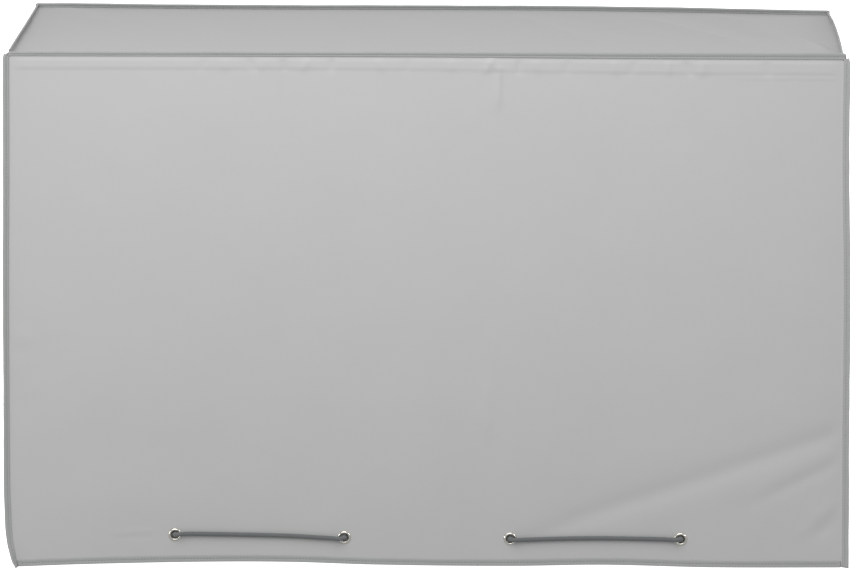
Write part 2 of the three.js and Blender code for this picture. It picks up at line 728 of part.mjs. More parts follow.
// The cord's way through an eyelet: how far along and out it is while it leaves the hole
const CORD_PASSAGE = [
  { along: 0.6, out: 1.6 },
  { along: 1.6, out: 3.8 },
  { along: 5, out: 5.1 },
  { along: 13, out: 3.7 },
];
const CORD_SLACK = 0.2;
const CORD_REST = CLOTH / 2 + GAP + CORD / 2 + CORD_SLACK;
const CORD_BETWEEN = [0.32, 0.5, 0.68];
const CORD_SIDES = 6;
const CORD_CORNER = [
  { away: 30, inside: 1 },
  { away: 13, inside: 2.2 },
];

// The cord's middle line, once round the hem, outside and inside by turns
function cordStations() {
  const stations = [];
  let outside = -1;
  WALLS.forEach((wall, index) => {
    const half = wall.length / 2;
    const surface = (x, y) => wallPoint(index, x, y);
    const level = wall.eyelets[0].down;
    CORD_CORNER.slice().reverse().forEach(({ away, inside }) => {
      stations.push(offCloth(surface, away - half, level, -CORD_REST - inside));
    });
    wall.eyelets.forEach((eyelet, number) => {
      const { centre, along, out } = eyeletFrame(index, eyelet);
      const turn = -outside;
      const through = (sign, { along: x, out: y }) => {
        const point = centre.clone().addScaledVector(along, sign * x);
        return point.addScaledVector(out, sign * y * turn);
      };
      CORD_PASSAGE.slice().reverse().forEach((row) => stations.push(through(-1, row)));
      CORD_PASSAGE.forEach((row) => stations.push(through(1, row)));
      outside = turn;
      const next = wall.eyelets[number + 1];
      if (next) {
        CORD_BETWEEN.forEach((part) => {
          const across = lerp(eyelet.across, next.across, part);
          const down = lerp(eyelet.down, next.down, part);
          stations.push(offCloth(surface, across, down, outside * CORD_REST));
        });
      }
    });
    const lastDown = wall.eyelets.at(-1).down;
    CORD_CORNER.forEach(({ away, inside }) => {
      stations.push(offCloth(surface, half - away, lastDown, -CORD_REST - inside));
    });
  });
  return stations;
}

// A curve whose rings stand at its own stations, close together where the cord bends
class StationCurve extends THREE.CatmullRomCurve3 {
  getPointAt(t, target) {
    return this.getPoint(t, target);
  }

  getTangentAt(t, target) {
    return this.getTangent(t, target);
  }
}

function cordGeometry() {
  const stations = cordStations();
  const curve = new StationCurve(stations, true);
  return new THREE.TubeGeometry(curve, stations.length, CORD / 2, CORD_SIDES, true);
}

// A closed solid for cutting and joining
function solidOf(geometry) {
  const vertProperties = new Float32Array(geometry.attributes.position.array);
  const triVerts = new Uint32Array(geometry.index.array);
  return new wasm.Manifold(new wasm.Mesh({ numProp: 3, vertProperties, triVerts }));
}

// The round hole for an eyelet's barrel, as a short rod through the cloth
function holeGeometry({ centre, out }) {
  const radius = EYELET_HOLE / 2 + EYELET_BARREL + GAP;
  const turn = new THREE.Quaternion().setFromUnitVectors(SPIN, out);
  const ends = [-ROD_HALF, ROD_HALF].map((height) => Array.from({ length: EYELET_SIDES }, (_, k) => {
    const angle = (k / EYELET_SIDES) * 2 * Math.PI;
    const point = new THREE.Vector3(radius * Math.sin(angle), height, radius * Math.cos(angle));
    return point.applyQuaternion(turn).add(centre);
  }));
  const outline = Array.from({ length: EYELET_SIDES }, (_, k) => {
    const angle = (k / EYELET_SIDES) * 2 * Math.PI;
    return new THREE.Vector2(Math.sin(angle), Math.cos(angle));
  });
  return loft(ends, outline);
}

function pierced(geometry, index) {
  let solid = solidOf(geometry);
  for (const eyelet of WALLS[index].eyelets) {
    solid = solid.subtract(solidOf(holeGeometry(eyeletFrame(index, eyelet))));
  }
  const { vertProperties, triVerts } = solid.getMesh();
  const cut = new THREE.BufferGeometry();
  cut.setAttribute('position', new THREE.BufferAttribute(vertProperties, 3));
  cut.setIndex(new THREE.BufferAttribute(triVerts, 1));
  return cut;
}

const group = new THREE.Group();

function add(name, geometry, finish) {
  geometry.computeVertexNormals();
  const mesh = new THREE.Mesh(geometry, new THREE.MeshStandardMaterial(COLOURS[finish]));
  mesh.name = name;
  group.add(mesh);
  return mesh;
}

add('top_panel', topGeometry(), 'cloth');
WALLS.forEach((wall, index) => {
  add(`${wall.name}_panel`, pierced(wallGeometry(index), index), 'cloth');
});

const CORNER_NAMES = ['front_left', 'front_right', 'back_right', 'back_left'];
CORNER_NAMES.forEach((name, index) => {
  add(`${name}_binding`, cornerBinding(index), 'tape');
});
WALLS.forEach((wall, index) => {
  add(`top_${wall.name}_binding`, topBinding(index, index % 2 === 0), 'tape');
  add(`hem_${wall.name}_binding`, hemBinding(index), 'tape');
});

WALLS.forEach((wall, index) => {
  wall.eyelets.forEach((eyelet, number) => {
    const { centre, out } = eyeletFrame(index, eyelet);
    const mesh = add(`${wall.name}_eyelet_${number + 1}`, eyeletGeometry(), 'nickel');
    mesh.position.copy(centre);
    mesh.quaternion.setFromUnitVectors(SPIN, out);
  });
});

add('drawcord', cordGeometry(), 'elastic');

export default group;
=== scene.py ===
"""A fitted weather cover for an outdoor air conditioner, dressed over its CAD frame.

Each panel is a sheet of coated cloth on the frame's own folds, each seam is closed in a folded
tape with its stitches, and one braided elastic cord runs through twelve nickel eyelets.
The tables are in millimetres, and every mesh is in metres.
"""

import math
import random

import bmesh
import bpy
import numpy as np
from mathutils import Matrix, Vector


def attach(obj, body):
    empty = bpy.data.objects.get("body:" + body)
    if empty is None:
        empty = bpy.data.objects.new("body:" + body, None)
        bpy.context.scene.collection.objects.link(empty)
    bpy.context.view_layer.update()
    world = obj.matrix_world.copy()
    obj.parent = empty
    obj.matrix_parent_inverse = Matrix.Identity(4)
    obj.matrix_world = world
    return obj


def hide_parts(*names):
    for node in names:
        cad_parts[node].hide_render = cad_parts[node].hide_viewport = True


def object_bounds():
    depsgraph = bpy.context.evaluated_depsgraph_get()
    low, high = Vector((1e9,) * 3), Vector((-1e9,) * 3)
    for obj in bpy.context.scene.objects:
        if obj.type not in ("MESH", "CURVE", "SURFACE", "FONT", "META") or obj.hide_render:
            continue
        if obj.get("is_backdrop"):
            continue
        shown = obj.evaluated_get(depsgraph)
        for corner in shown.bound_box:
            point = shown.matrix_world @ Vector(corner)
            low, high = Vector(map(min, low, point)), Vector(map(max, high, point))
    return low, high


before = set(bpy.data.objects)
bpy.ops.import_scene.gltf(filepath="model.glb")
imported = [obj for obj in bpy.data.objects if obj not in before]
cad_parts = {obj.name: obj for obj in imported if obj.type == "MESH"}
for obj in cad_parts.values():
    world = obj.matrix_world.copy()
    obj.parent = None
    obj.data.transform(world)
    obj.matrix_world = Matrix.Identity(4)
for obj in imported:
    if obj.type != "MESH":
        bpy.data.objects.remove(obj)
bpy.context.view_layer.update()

bl_info = {
    "name": "Air conditioner cover",
    "version": (1, 0, 0),
    "blender": (4, 5, 0),
    "location": "3D View > Sidebar > Cover",
    "description": "Cuts, binds and threads a fitted weather cover, and lights it",
    "category": "Object",
}

MM = 0.001

# Corners from the front left round. Each row of its line says how far it stands outside the
# plain box at a drop from 0 to 1, and how its seam leans from the first wall's plane. Its tape
# starts this far down, as narrow as this share of its width, which it has in full after the
# taper, and its upper end may peak outward.
LINE = ("drop", "x", "y", "lean")
CORNERS = [
    {
        "name": "front_left", "side": (-1, -1), "rise": 1.2, "hem": -3,
        "start": -0.3, "narrow": 0.8, "taper": 5, "peak": 0.7,
        "line": [
            (0, 1, 0, 42), (0.2, 2, 0.6, 41), (0.45, 4.2, 1.6, 45), (0.7, 5.2, 2, 46),
            (0.88, 4.8, 1.5, 36), (0.95, 2.8, 0.5, 36), (0.976, 0.8, 0, 52),
            (0.992, 0.4, -0.3, 74), (1, -1, -0.5, 84),
        ],
    },
    {
        "name": "front_right", "side": (1, -1), "rise": -1.8, "hem": -1.2,
        "start": -0.9, "narrow": 0.8, "taper": 5, "peak": 0.4,
        "line": [
            (0, 0.8, 0, 54), (0.2, 0.8, 0.5, 57), (0.45, 3.8, 1.5, 55), (0.7, 4.2, 2.5, 57),
            (1, 5.4, 1.5, 58),
        ],
    },
    {
        "name": "back_right", "side": (1, 1), "rise": -2.6, "hem": 0.5,
        "start": 0.9, "narrow": 0.15, "taper": 16, "peak": 0,
        "line": [(0, 7, -1, 44), (0.4, 4, 1, 47), (0.75, 3, 2.5, 42), (1, 2, 1, 46)],
    },
    {
        "name": "back_left", "side": (-1, 1), "rise": 5.4, "hem": 1.5,
        "start": 0.9, "narrow": 0.15, "taper": 16, "peak": 0,
        "line": [(0, 2.2, -1, 46), (0.35, 2, 1.5, 43), (0.7, 2.5, 2, 47), (1, 1, 1.5, 44)],
    },
]

# Walls from one corner to the next. Rows of the seam and of the hem say how far that edge
# bows out and up at a fraction of the wall. The seam's rows add how far it leans outward, and
# the share of its full width that it stands. The ends say how far its tape runs past the wall.
# Eyelets are placed across from the wall's middle and down from its top seam.
SEAM = ("at", "out", "up", "lean", "wide")
HEM = ("at", "out", "up")
WALLS = [
    {
        "name": "front", "along": (1, 0, 0), "out": (0, -1, 0), "fullness": 7, "ends": (3, 2.6),
        "seam": [
            (0, 0, 0, 16, 0.58),
            (0.25, 0.8, 0.7, 15, 0.62),
            (0.5, 0.4, 0.9, 14, 0.7),
            (0.75, 0.9, 0.1, 13, 0.86),
            (1, 0, 0, 12, 0.96),
        ],
        "hem": [
            (0, 0, 0), (0.07, 0.5, 2.6), (0.25, -1.5, 5.5), (0.34, -1, 5.2), (0.43, 1, 3),
            (0.6, -0.5, 1.2), (0.71, -2, 2.3), (0.84, 1.5, 0.4), (1, 0, 0),
        ],
        "eyelets": [(-274, 529), (-90, 530.4), (90, 529.6), (275, 529.2)],
        "cord_rise": [1.6, -0.6, -0.3, 0.1],
    },
    {
        "name": "right", "along": (0, 1, 0), "out": (1, 0, 0), "fullness": 5, "ends": (-1.6, -3.5),
        "seam": [
            (0, 0, 0, -10, 0.85),
            (0.3, 2.2, 0.6, -15, 0.95),
            (0.7, 2.2, 0.9, -16, 0.9),
            (1, 0, 0, -14, 0.5),
        ],
        "hem": [(0, 0, 0), (0.35, -1.5, 1.8), (0.7, 1, 0.8), (1, 0, 0)],
        "eyelets": [(-92, 529.5), (92, 529.5)],
    },
    {
        "name": "back", "along": (-1, 0, 0), "out": (0, 1, 0), "fullness": 6, "ends": (1.2, 1.2),
        "seam": [
            (0, 0, 0, -14, 0.66),
            (0.06, -0.2, 0.4, -26, 0.74),
            (0.17, -0.6, 1.6, -29, 0.76),
            (0.33, -1, 2.4, -30, 0.74),
            (0.5, -1.2, 1.7, -31, 0.72),
            (0.7, -1, 0.4, -32, 0.7),
            (0.87, -0.4, 0, -32, 0.68),
            (0.95, -0.1, 0.1, -27, 0.66),
            (1, 0, 0, -14, 0.55),
        ],
        "hem": [(0, 0, 0), (0.3, 1.5, 1.6), (0.6, -1.5, 0.4), (0.85, 1, 1.4), (1, 0, 0)],
        "eyelets": [(-276, 529.5), (-92, 529.5), (92, 529.5), (276, 529.5)],
    },
    {
        "name": "left", "along": (0, -1, 0), "out": (-1, 0, 0), "fullness": 5, "ends": (-3.5, -1.6),
        "seam": [
            (0, 0, 0, -22, 0.5),
            (0.35, 1.4, -0.4, -28, 0.85),
            (0.7, 2.2, 0.2, -28, 0.9),
            (1, 0, 0, -3, 0.85),
        ],
        "hem": [(0, 0, 0), (0.4, 1.5, 1.2), (0.75, -1.5, 2.4), (1, 0, 0)],
        "eyelets": [(-92, 529.5), (92, 529.5)],
    },
]
TOP_FULLNESS = 1.5

# Main folds, the same as the frame's: x and y where each starts, x and y where it ends, its half
# width and its height. Walls count x from their middle and y down from the top seam. The top
# counts both from its middle.
FOLDS = {
    "front": [
        (75, 2, 71, 66, 5.5, 2.4),
        (71, 56, 64, 170, 8, 1.1),
        (66, 345, 68, 425, 9, 1),
        (-154, 4, -150, 104, 9, -1.7),
        (-341, 10, -337, 140, 17, 1.4),
        (-316, 20, -312, 120, 14, -1),
        (-286, 20, -292, 200, 16, 1.4),
        (-222, 10, -228, 220, 19, 1.5),
        (-190, 4, -184, 180, 17, -1.3),
        (-128, 12, -124, 120, 16, 1.5),
        (-72, 8, -28, 104, 15, -1.4),
        (-40, 40, -44, 200, 19, 1.5),
        (36, 6, 48, 90, 15, 1.3),
        (150, 20, 178, 110, 20, 1.2),
        (300, 10, 330, 130, 22, -1.2),
        (500, 356, 90, 494, 34, 3.2),
        (520, 377, 84, 530, 20, -5.5),
        (480, 420, 170, 530, 19, 3),
        (470, 426, 366, 478, 13, -3.2),
        (470, 462, 404, 512, 12, 2.4),
        (470, 486, 414, 530, 13, -2.6),
        (408, 130, 412, 600, 38, 3.6),
        (-470, 446, -190, 436, 36, -3.8),
        (-182, 420, -110, 530, 24, -1.8),
        (-470, 350, -396, 372, 16, 1.4),
    ],
    "right": [
        (-150, 120, -120, 520, 30, 2.4),
        (-60, 30, -40, 260, 26, -2),
        (40, 200, 70, 560, 34, 3),
        (150, 60, 120, 400, 28, -2.2),
    ],
    "back": [
        (-330, 20, -318, 260, 30, 2.4),
        (-180, 10, -196, 200, 28, -2),
        (-60, 30, -70, 330, 34, 2.6),
        (110, 10, 124, 220, 28, -2),
        (250, 40, 232, 300, 30, 2.4),
        (480, 400, 160, 500, 32, -3.4),
        (-480, 430, -220, 492, 34, 3),
    ],
    "left": [
        (-140, 60, -120, 420, 28, -2.2),
        (-40, 160, -60, 560, 34, 2.8),
        (60, 20, 40, 280, 26, 2),
        (200, 340, 90, 392, 24, -2.4),
    ],
    "top": [
        (92, 150, 186, -110, 17, 2.6),
        (150, 160, 236, -70, 19, -1.6),
        (214, 160, 372, -134, 17, 2.8),
        (284, 150, 400, -70, 16, -1.8),
        (308, 210, 462, -200, 17, 3),
        (-436, 220, -340, 36, 18, 2.6),
        (-300, 120, -190, -150, 26, 1.6),
        (-60, 150, 20, -150, 28, 1.8),
    ],
}

# The share of the frame's fold heights that the thin cloth keeps, pulled flat at the front, and
# the part of a fold's length over which it rises at its start, and from which it falls again
FOLD_SHARE = {"front": 0.16, "right": 0.8, "back": 0.8, "left": 0.8, "top": 0.7}
FOLD_RISE = 0.25
FOLD_FALL = 0.7

# Small creases that only the cloth itself shows, in the same columns
CREASES = {
    "front": [
        (-350, 527, -286, 523, 3, 0.2),
        (-346, 533, -290, 531, 3.6, -0.2),
        (-466, 300, -420, 306, 5, 0.5),
        (-466, 326, -424, 322, 4, -0.5),
        (79.5, 2, 78, 62, 3, 1.2),
        (67, -2, 79, 16, 2.4, 1.3),
        (-154, 6, -151, 66, 4, -0.6),
        (66, 352, 68, 418, 3.5, 0.6),
        (560, 369, 40, 553, 9, -0.95),
        (560, 356, 90, 516, 14, 0.5),
        (510, 412, 330, 500, 6, -0.8),
        (500, 402, 340, 482, 8, 0.3),
        (500, 440, 392, 532, 5, 0.7),
        (510, 452, 400, 544, 6, -0.5),
    ],
    "top": [
        (92, 150, 186, -110, 6, 0.9),
        (214, 160, 372, -134, 6, 1.2),
        (308, 210, 462, -200, 6, 1.6),
        (330, 170, 470, -170, 9, -1),
        (-436, 220, -340, 36, 7, 1),
        (-420, 170, -300, 10, 8, -0.8),
        (40, -120, 74, -196, 5, 0.8),
    ],
}

# Puckers where the seam draws the front in: how far across, and how high each small dent is
FRONT_PUCKERS = [
    (-238, -0.8), (-216, 0.8), (-191, -1), (-174, 0.8), (-155, -1.5), (-127, 1), (-102, -1),
    (-53, 0.8), (-19, -0.8), (26, 0.8), (71, 1.5), (100, -1), (116, 0.8), (154, -0.8),
    (202, 0.8), (226, -0.8), (262, 0.8), (279, -1), (301, 0.8), (366, -1),
]

# The steps in which puckers lean, their least half width, and the steps in which it grows. On
# the other walls they are this far apart, and stray this far.
PUCKER_LEAN = 0.18
PUCKER_HALF = 2.4
PUCKER_GROWTH = 0.5
PUCKER_SPACING = 31
PUCKER_STRAY = 9

# The allowance inside a wall's top seam: how deep it lies at a fraction of the wall
ALLOWANCE_LINE = ("at", "deep")
FRONT_ALLOWANCE = [(0, 13), (0.3, 12.5), (0.6, 13.5), (0.85, 15), (1, 15.5)]
PLAIN_ALLOWANCE = [(0, 13), (1, 13)]

# The ridge over that allowance, and the puckers on it: down from the seam they rise over the
# first pair, and fall over the second pair, which counts from the allowance's edge
RIDGE_HIGH = 0.6
RIDGE_RISE = (1, 4)
RIDGE_FALL = (-0.6, 1.6)
PUCKER_RISE = (1, 5)
PUCKER_FALL = (-2, 7)

# A second ridge below it at the right, from this part of the half wall on
SECOND_HIGH = 0.4
SECOND_BELOW = 4.4
SECOND_HALF = 1.4
SECOND_FROM = (0.7, 0.8)

# The seam tape: where its legs begin on the seam, its fold's radius along the seam, where its
# stitches run, how far they draw it in and over what half width, and the lines up each leg. An
# upper end that peaks does so from this far out, and an end past its wall droops by this share.
TAPE_START = 0.8
TAPE_FOLD = 1.6
STITCH_LINE = 3.7
STITCH_DEEP = 0.45
STITCH_DENT = 1.1
TAPE_LINES = 9
PEAK_FROM = 1.8
DROOP = 0.8

# The hem tape: how much shorter its inner leg is at each end, its stitches and their dent as
# above, its fold, and the lines up each leg
HEM_TRIM = 5
HEM_STITCH = 3.6
HEM_DEEP = 0.2
HEM_DENT = 1.0
HEM_FOLD = 0.6
HEM_LINES = 8

# How far the tapes wander, with the lengths of the waves: the seam tape's width as a share, how
# proud it stands, and how high the hem tape's upper edge lies
WIDTH_WANDER = (0.035, (91, 43, 170))
PROUD_WANDER = (0.12, (37, 19, 73))
HEM_WANDER = (0.25, (83, 37, 151))

# How far a hem stitch sinks into the tape
STITCH_SUNK = 0.15

# Eyelets: the barrel's wall, the rolled rim's height, the washer's thickness, the sides round,
# and the least angle of a sharp edge
EYELET_WALL = 0.6
RIM_HIGH = 1.25
WASHER = 0.6
EYELET_SIDES = 44
EYELET_SHARP = math.radians(40)

# The cord's way through an eyelet, how far along and out, its places near a corner and between
# two eyelets, its space from the cloth, and the mesh's steps along it and sides round it
CORD_PASSAGE = [(0.6, 1.6), (1.6, 3.8), (5, 5.1), (13, 3.7)]
CORD_CORNER = [(30, 1), (13, 2.2)]
CORD_BETWEEN = (0.32, 0.5, 0.68)
CORD_SLACK = 0.2
CORD_STEP = 2.2
CORD_SIDES = 14

# Grid lines of the cloth: up its standing seam, down to where the puckers end, and closer
# together in the square field round each eyelet
SEAM_LINES = np.array([1.5, 7.2])
PUCKERED = 24
EYELET_FIELD = 12
EYELET_STEP = 2
EYELET_TOP = 517
EYELET_FOOT = 542
CLOTH_STEPS = {"front": (3.4, 5), "right": (5, 6), "back": (5, 6), "left": (5, 6), "top": (4.5, 5)}

# The floor, in metres. Its paper glows, but a painted shade keeps it dark under the cover: half
# the sides of that part, how far back its middle lies, its soft edge, and how strongly the rest glows
FLOOR_RADIUS = 16
PAINTED_SHADE = (("X", 0.4), ("Y", 0.13))
PAINTED_SHADE_BACK = 0.03
PAINTED_SHADE_EDGE = 0.03
GLOW = 1.2

# Lights, placed from the point they face, with their size in metres. The fills light the sides
# and the back, and give their power in watts. The glints only show in what is glossy.
KEY = ((-0.35, -1.8, 1.45), 2.0)
FILLS = (("right_fill", (1.9, 1.5, 0.2), 1.2, 24), ("left_fill", (-2.2, 0.9, 0.1), 1.2, 14))
GLINTS = (("left_glint", (-1.9, -1.3, -0.1), 0.5), ("right_glint", (1.5, -1.5, 0.5), 0.5))

UP = np.array([0, 0, 1.0])
MADE = {}


def smooth(value, low, high):
    part = np.clip((value - low) / (high - low), 0, 1)
    return part * part * (3 - 2 * part)


def bell(value, half):
    """A soft bump over 0, that has fallen to about a third at its half width."""
    return np.exp(-((value / half) ** 2))


def unit(vectors):
    return vectors / np.linalg.norm(vectors, axis=-1, keepdims=True)


def column(names, rows, name):
    """A smooth reading of one named column of a table, over its first column."""
    stops = np.array([row[0] for row in rows], float)
    values = np.array([row[names.index(name)] for row in rows], float)

    def read(at):
        at = np.clip(at, stops[0], stops[-1])
        k = np.clip(np.searchsorted(stops, at, side="right"), 1, len(stops) - 1)
        before = np.where(k > 1, k - 2, k)
        after = np.where(k < len(stops) - 1, k + 1, k - 1)
        start, end = stops[k - 1], stops[k]
        half = (end - start) / 2
        ease_in = half / (start - stops[before])
        ease_out = half / (stops[after] - end)
        p = (at - start) / (end - start)
        value = (-ease_in * p**3 + 2 * ease_in * p**2 - ease_in * p) * values[before]
        value += ((1 + ease_in) * p**3 - (1.5 + 2 * ease_in) * p**2) * values[k - 1]
        value += ((ease_in - 0.5) * p + 1) * values[k - 1]
        value += ((1.5 + ease_out) * p**2 - (1 + ease_out) * p**3 + 0.5 * p) * values[k]
        return value + (ease_out * p**3 - ease_out * p**2) * values[after]

    return read


def spread(*stretches):
    """Evenly spread lines over stretches, each given as its end and its widest step."""
    lines = [stretches[0][0]]
    for (start, _), (end, step) in zip(stretches, stretches[1:]):
        parts = max(1, round((end - start) / step))
        lines += [start + (end - start) * part / parts for part in range(1, parts + 1)]
    return np.array(lines, float)


def fold_height(rows, x, y):
    """Height of the folds at each place, each with a soft section and tapered ends."""
    height = np.zeros(np.broadcast(x, y).shape)
    for x0, y0, x1, y1, half, high in rows:
        run = math.hypot(x1 - x0, y1 - y0)
        part = ((x - x0) * (x1 - x0) + (y - y0) * (y1 - y0)) / run**2
        aside = ((x - x0) * (y1 - y0) - (y - y0) * (x1 - x0)) / run
        ends = smooth(part, 0, FOLD_RISE) * (1 - smooth(part, FOLD_FALL, 1))
        height += high * bell(aside, half) * ends
    return height


def stretched(near, far, first, last, s, t):
    """A surface stretched between four edge curves, each a function from 0 to 1."""
    s, t = np.broadcast_arrays(s, t)
    p, q = s[..., None], t[..., None]
    point = near(s) * (1 - q) + far(s) * q + first(t) * (1 - p) + last(t) * p
    point = point - near(0.0) * (1 - p) * (1 - q) - near(1.0) * p * (1 - q)
    return point - far(0.0) * (1 - p) * q - far(1.0) * p * q


class Wall:
    """One wall: its name, size and directions, and its edges' columns ready to read."""

    def __init__(self, row, length):
        self.name = row["name"]
        self.length = length
        self.half = length / 2
        self.along = np.array(row["along"], float)
        self.out = np.array(row["out"], float)
        self.fullness = row["fullness"]
        self.eyelets = row["eyelets"]
        self.cord_rise = row.get("cord_rise", [0] * len(row["eyelets"]))
        self.ends = row["ends"]
        seam = [column(SEAM, row["seam"], name) for name in SEAM[1:]]
        self.seam_out, self.seam_up, self.seam_lean, self.seam_wide = seam
        self.hem_out, self.hem_up = [column(HEM, row["hem"], n) for n in HEM[1:]]
        self.creases = CREASES.get(self.name, ())
        self.puckers = FRONT_PUCKERS if self.name == "front" else plain_puckers(self.name, self.half)
        line = FRONT_ALLOWANCE if self.name == "front" else PLAIN_ALLOWANCE
        self.allowance_line = column(ALLOWANCE_LINE, line, "deep")


def plain_puckers(name, half):
    """Puckers of a wall that the front's view doesn't show, unevenly spread along its seam."""
    draw = random.Random(name)
    puckers = []
    for x in np.arange(-half + PUCKER_SPACING, half - PUCKER_SPACING / 2, PUCKER_SPACING):
        x = x + draw.uniform(-PUCKER_STRAY, PUCKER_STRAY)
        puckers.append((x, draw.choice((-1, 1)) * draw.uniform(0.5, 1)))
    return puckers


class Cover:
    """The cover's surfaces, seams and cord in millimetres, from the sizes and the tables."""

    # Where folds and creases blend in, from a seam and round an eyelet
    seam_blend = 24
    eyelet_blend = (13, 40)
    crease_seam = (2, 14)
    crease_eyelet = (8, 12)

    # The top seam's height, and the flat field that an eyelet is clenched on
    seam_level = -1.0
    eyelet_rows = (518.5, 539.5)
    eyelet_cell = 9

    # How far a seam allowance is trimmed at its ends, a corner tape runs below the hem, a hem
    # tape stops short of the corner, and a normal is measured
    trimmed_end = 2.5
    hem_foot = 0.3
    hem_reach = 1.2
    normal_reach = 2

    def __init__(self, sizes):
        for name in CoverSizes.__annotations__:
            setattr(self, name, getattr(sizes, name) / MM)
        self.layer = (self.cloth + self.gap) / 2
        self.tape_middle = self.layer + self.cloth / 2 + self.gap + self.tape / 2
        self.leg = self.cloth / 2 + self.gap
        self.hem_leg = self.hem_tape - self.tape - self.gap
        lengths = (self.width, self.depth, self.width, self.depth)
        self.walls = [Wall(row, length) for row, length in zip(WALLS, lengths)]
        self.lines = [{n: column(LINE, row["line"], n) for n in LINE[1:]} for row in CORNERS]

    def corner_point(self, index, drop):
        """The corner line between two walls, from the top seam at 0 to the hem at 1."""
        corner, line = CORNERS[index % 4], self.lines[index % 4]
        drop = np.asarray(drop, float)
        x = corner["side"][0] * (self.width / 2 + line["x"](drop))
        y = corner["side"][1] * (self.depth / 2 + line["y"](drop))
        z = self.seam_level + corner["rise"] * (1 - drop) + (corner["hem"] - self.height) * drop
        return np.stack([x, y, z], axis=-1)

    def edge_point(self, index, low, at):
        """A wall's upper or lower edge at a fraction of its way round."""
        wall = self.walls[index]
        at = np.asarray(at, float)
        start, end = self.corner_point(index, low), self.corner_point(index + 1, low)
        out, up = (wall.hem_out, wall.hem_up) if low else (wall.seam_out, wall.seam_up)
        point = start + (end - start) * at[..., None] + wall.out * out(at)[..., None]
        return point + UP * up(at)[..., None]

    def wall_point(self, index, across, down):
        """The middle of a wall's cloth, across from its middle and down from its seam."""
        wall = self.walls[index]
        across, down = np.broadcast_arrays(np.asarray(across, float), np.asarray(down, float))
        s, t = across / wall.length + 0.5, down / self.height
        point = stretched(
            lambda at: self.edge_point(index, 0, at),
            lambda at: self.edge_point(index, 1, at),
            lambda drop: self.corner_point(index, drop),
            lambda drop: self.corner_point(index + 1, drop),
            s,
            t,
        )
        rise = (1 - (2 * s - 1) ** 4) * (1 - (2 * t - 1) ** 2) * wall.fullness
        blend = smooth(down, 0, self.seam_blend) * smooth(wall.half - abs(across), 0, self.seam_blend)
        for x, y in wall.eyelets:
            blend = blend * smooth(np.hypot(across - x, down - y), *self.eyelet_blend)
        rise = rise + FOLD_SHARE[wall.name] * blend * fold_height(FOLDS[wall.name], across, down)
        rise = rise + self.small_folds(wall, across, down)
        return point + wall.out * rise[..., None]

    def small_folds(self, wall, across, down):
        """Creases, the ridge over the seam's allowance, and the puckers between it and the seam."""
        clear = smooth(wall.half - abs(across), *self.crease_seam)
        for x, y in wall.eyelets:
            clear = clear * smooth(np.hypot(across - x, down - y), *self.crease_eyelet)
        deep = wall.allowance_line(across / wall.length + 0.5)
        ridge = RIDGE_HIGH * smooth(down, *RIDGE_RISE) * (1 - smooth(down - deep, *RIDGE_FALL))
        second = SECOND_HIGH * bell(down - deep - SECOND_BELOW, SECOND_HALF)
        second = second * smooth(across / wall.half, *SECOND_FROM)
        puckered = np.zeros(across.shape)
        for k, (x, high) in enumerate(wall.puckers):
            slant = PUCKER_LEAN * (k * 7 % 5 - 2)
            half = PUCKER_HALF + PUCKER_GROWTH * (k * 3 % 4)
            puckered += high * bell(across - x - slant * down, half)
        puckered *= smooth(down, *PUCKER_RISE) * (1 - smooth(down - deep, *PUCKER_FALL))
        return clear * (ridge + second + puckered + fold_height(wall.creases, across, down))

    def top_point(self, x, y):
        """The middle of the top panel's cloth, y towards the back."""
        x, y = np.broadcast_arrays(np.asarray(x, float), np.asarray(y, float))
        s, t = x / self.width + 0.5, y / self.depth + 0.5
        point = stretched(
            lambda at: self.edge_point(0, 0, at),
            lambda at: self.edge_point(2, 0, 1 - at),
            lambda at: self.edge_point(3, 0, 1 - at),
            lambda at: self.edge_point(1, 0, at),
            s,
            t,
        )
        rise = (1 - (2 * s - 1) ** 2) * (1 - (2 * t - 1) ** 2) * TOP_FULLNESS
        blend = smooth(self.width / 2 - abs(x), 0, self.seam_blend)
        blend = blend * smooth(self.depth / 2 - abs(y), 0, self.seam_blend)
        folds = FOLD_SHARE["top"] * fold_height(FOLDS["top"], x, y)
        rise = rise + blend * (folds + fold_height(CREASES["top"], x, y))
        return point + UP * rise[..., None]

    def off_wall(self, index, across, down, offset):
        """A point on a wall's cloth moved along the cloth's own normal."""
        reach = self.normal_reach
        left, right = [self.wall_point(index, across + step, down) for step in (-reach, reach)]
        above, below = [self.wall_point(index, across, down + step) for step in (-reach, reach)]
        normal = unit(np.cross(below - above, right - left))
        return self.wall_point(index, across, down) + normal * np.asarray(offset, float)[..., None]

    def seam_frame(self, point, plane, out, lean):
        """The standing part of a seam: its origin, the way along it and its first panel's side."""
        angle = np.radians(lean)[..., None]
        along = np.cos(angle) * plane + np.sin(angle) * out
        side = np.cos(angle) * out - np.sin(angle) * plane
        return point - self.layer * (np.cos(angle) - np.sin(angle)) * side, along, side

    def corner_seam(self, index, drop):
        index = index % 4
        wall = self.walls[index]
        lean = self.lines[index]["lean"](drop)
        return self.seam_frame(self.corner_point(index, drop), -wall.along, wall.out, lean)

    def top_seam(self, index, at):
        wall = self.walls[index]
        return self.seam_frame(self.edge_point(index, 0, at), UP, wall.out, wall.seam_lean(at))

    def corner_width(self, index, down):
        """The share of its width that a corner's flange has: it narrows towards the top."""
        corner = CORNERS[index % 4]
        return corner["narrow"] + (1 - corner["narrow"]) * smooth(down, 0, corner["taper"])

    def corner_peak(self, index, down):
        """How steeply a corner tape's upper end rises outward, to close the gap at the corner."""
        corner = CORNERS[index]
        return corner["peak"] * (1 - smooth(down, 0, 2 * corner["taper"]))

    def tape_start(self, lean):
        """How far up a top seam its tape begins, so that it clears the panel it leans over."""
        angle = np.radians(lean)
        thick = self.layer * (np.cos(angle) - np.sin(angle)) + self.tape_middle + self.tape / 2
        return np.maximum(TAPE_START, (self.leg - thick * np.sin(angle)) / np.cos(angle))

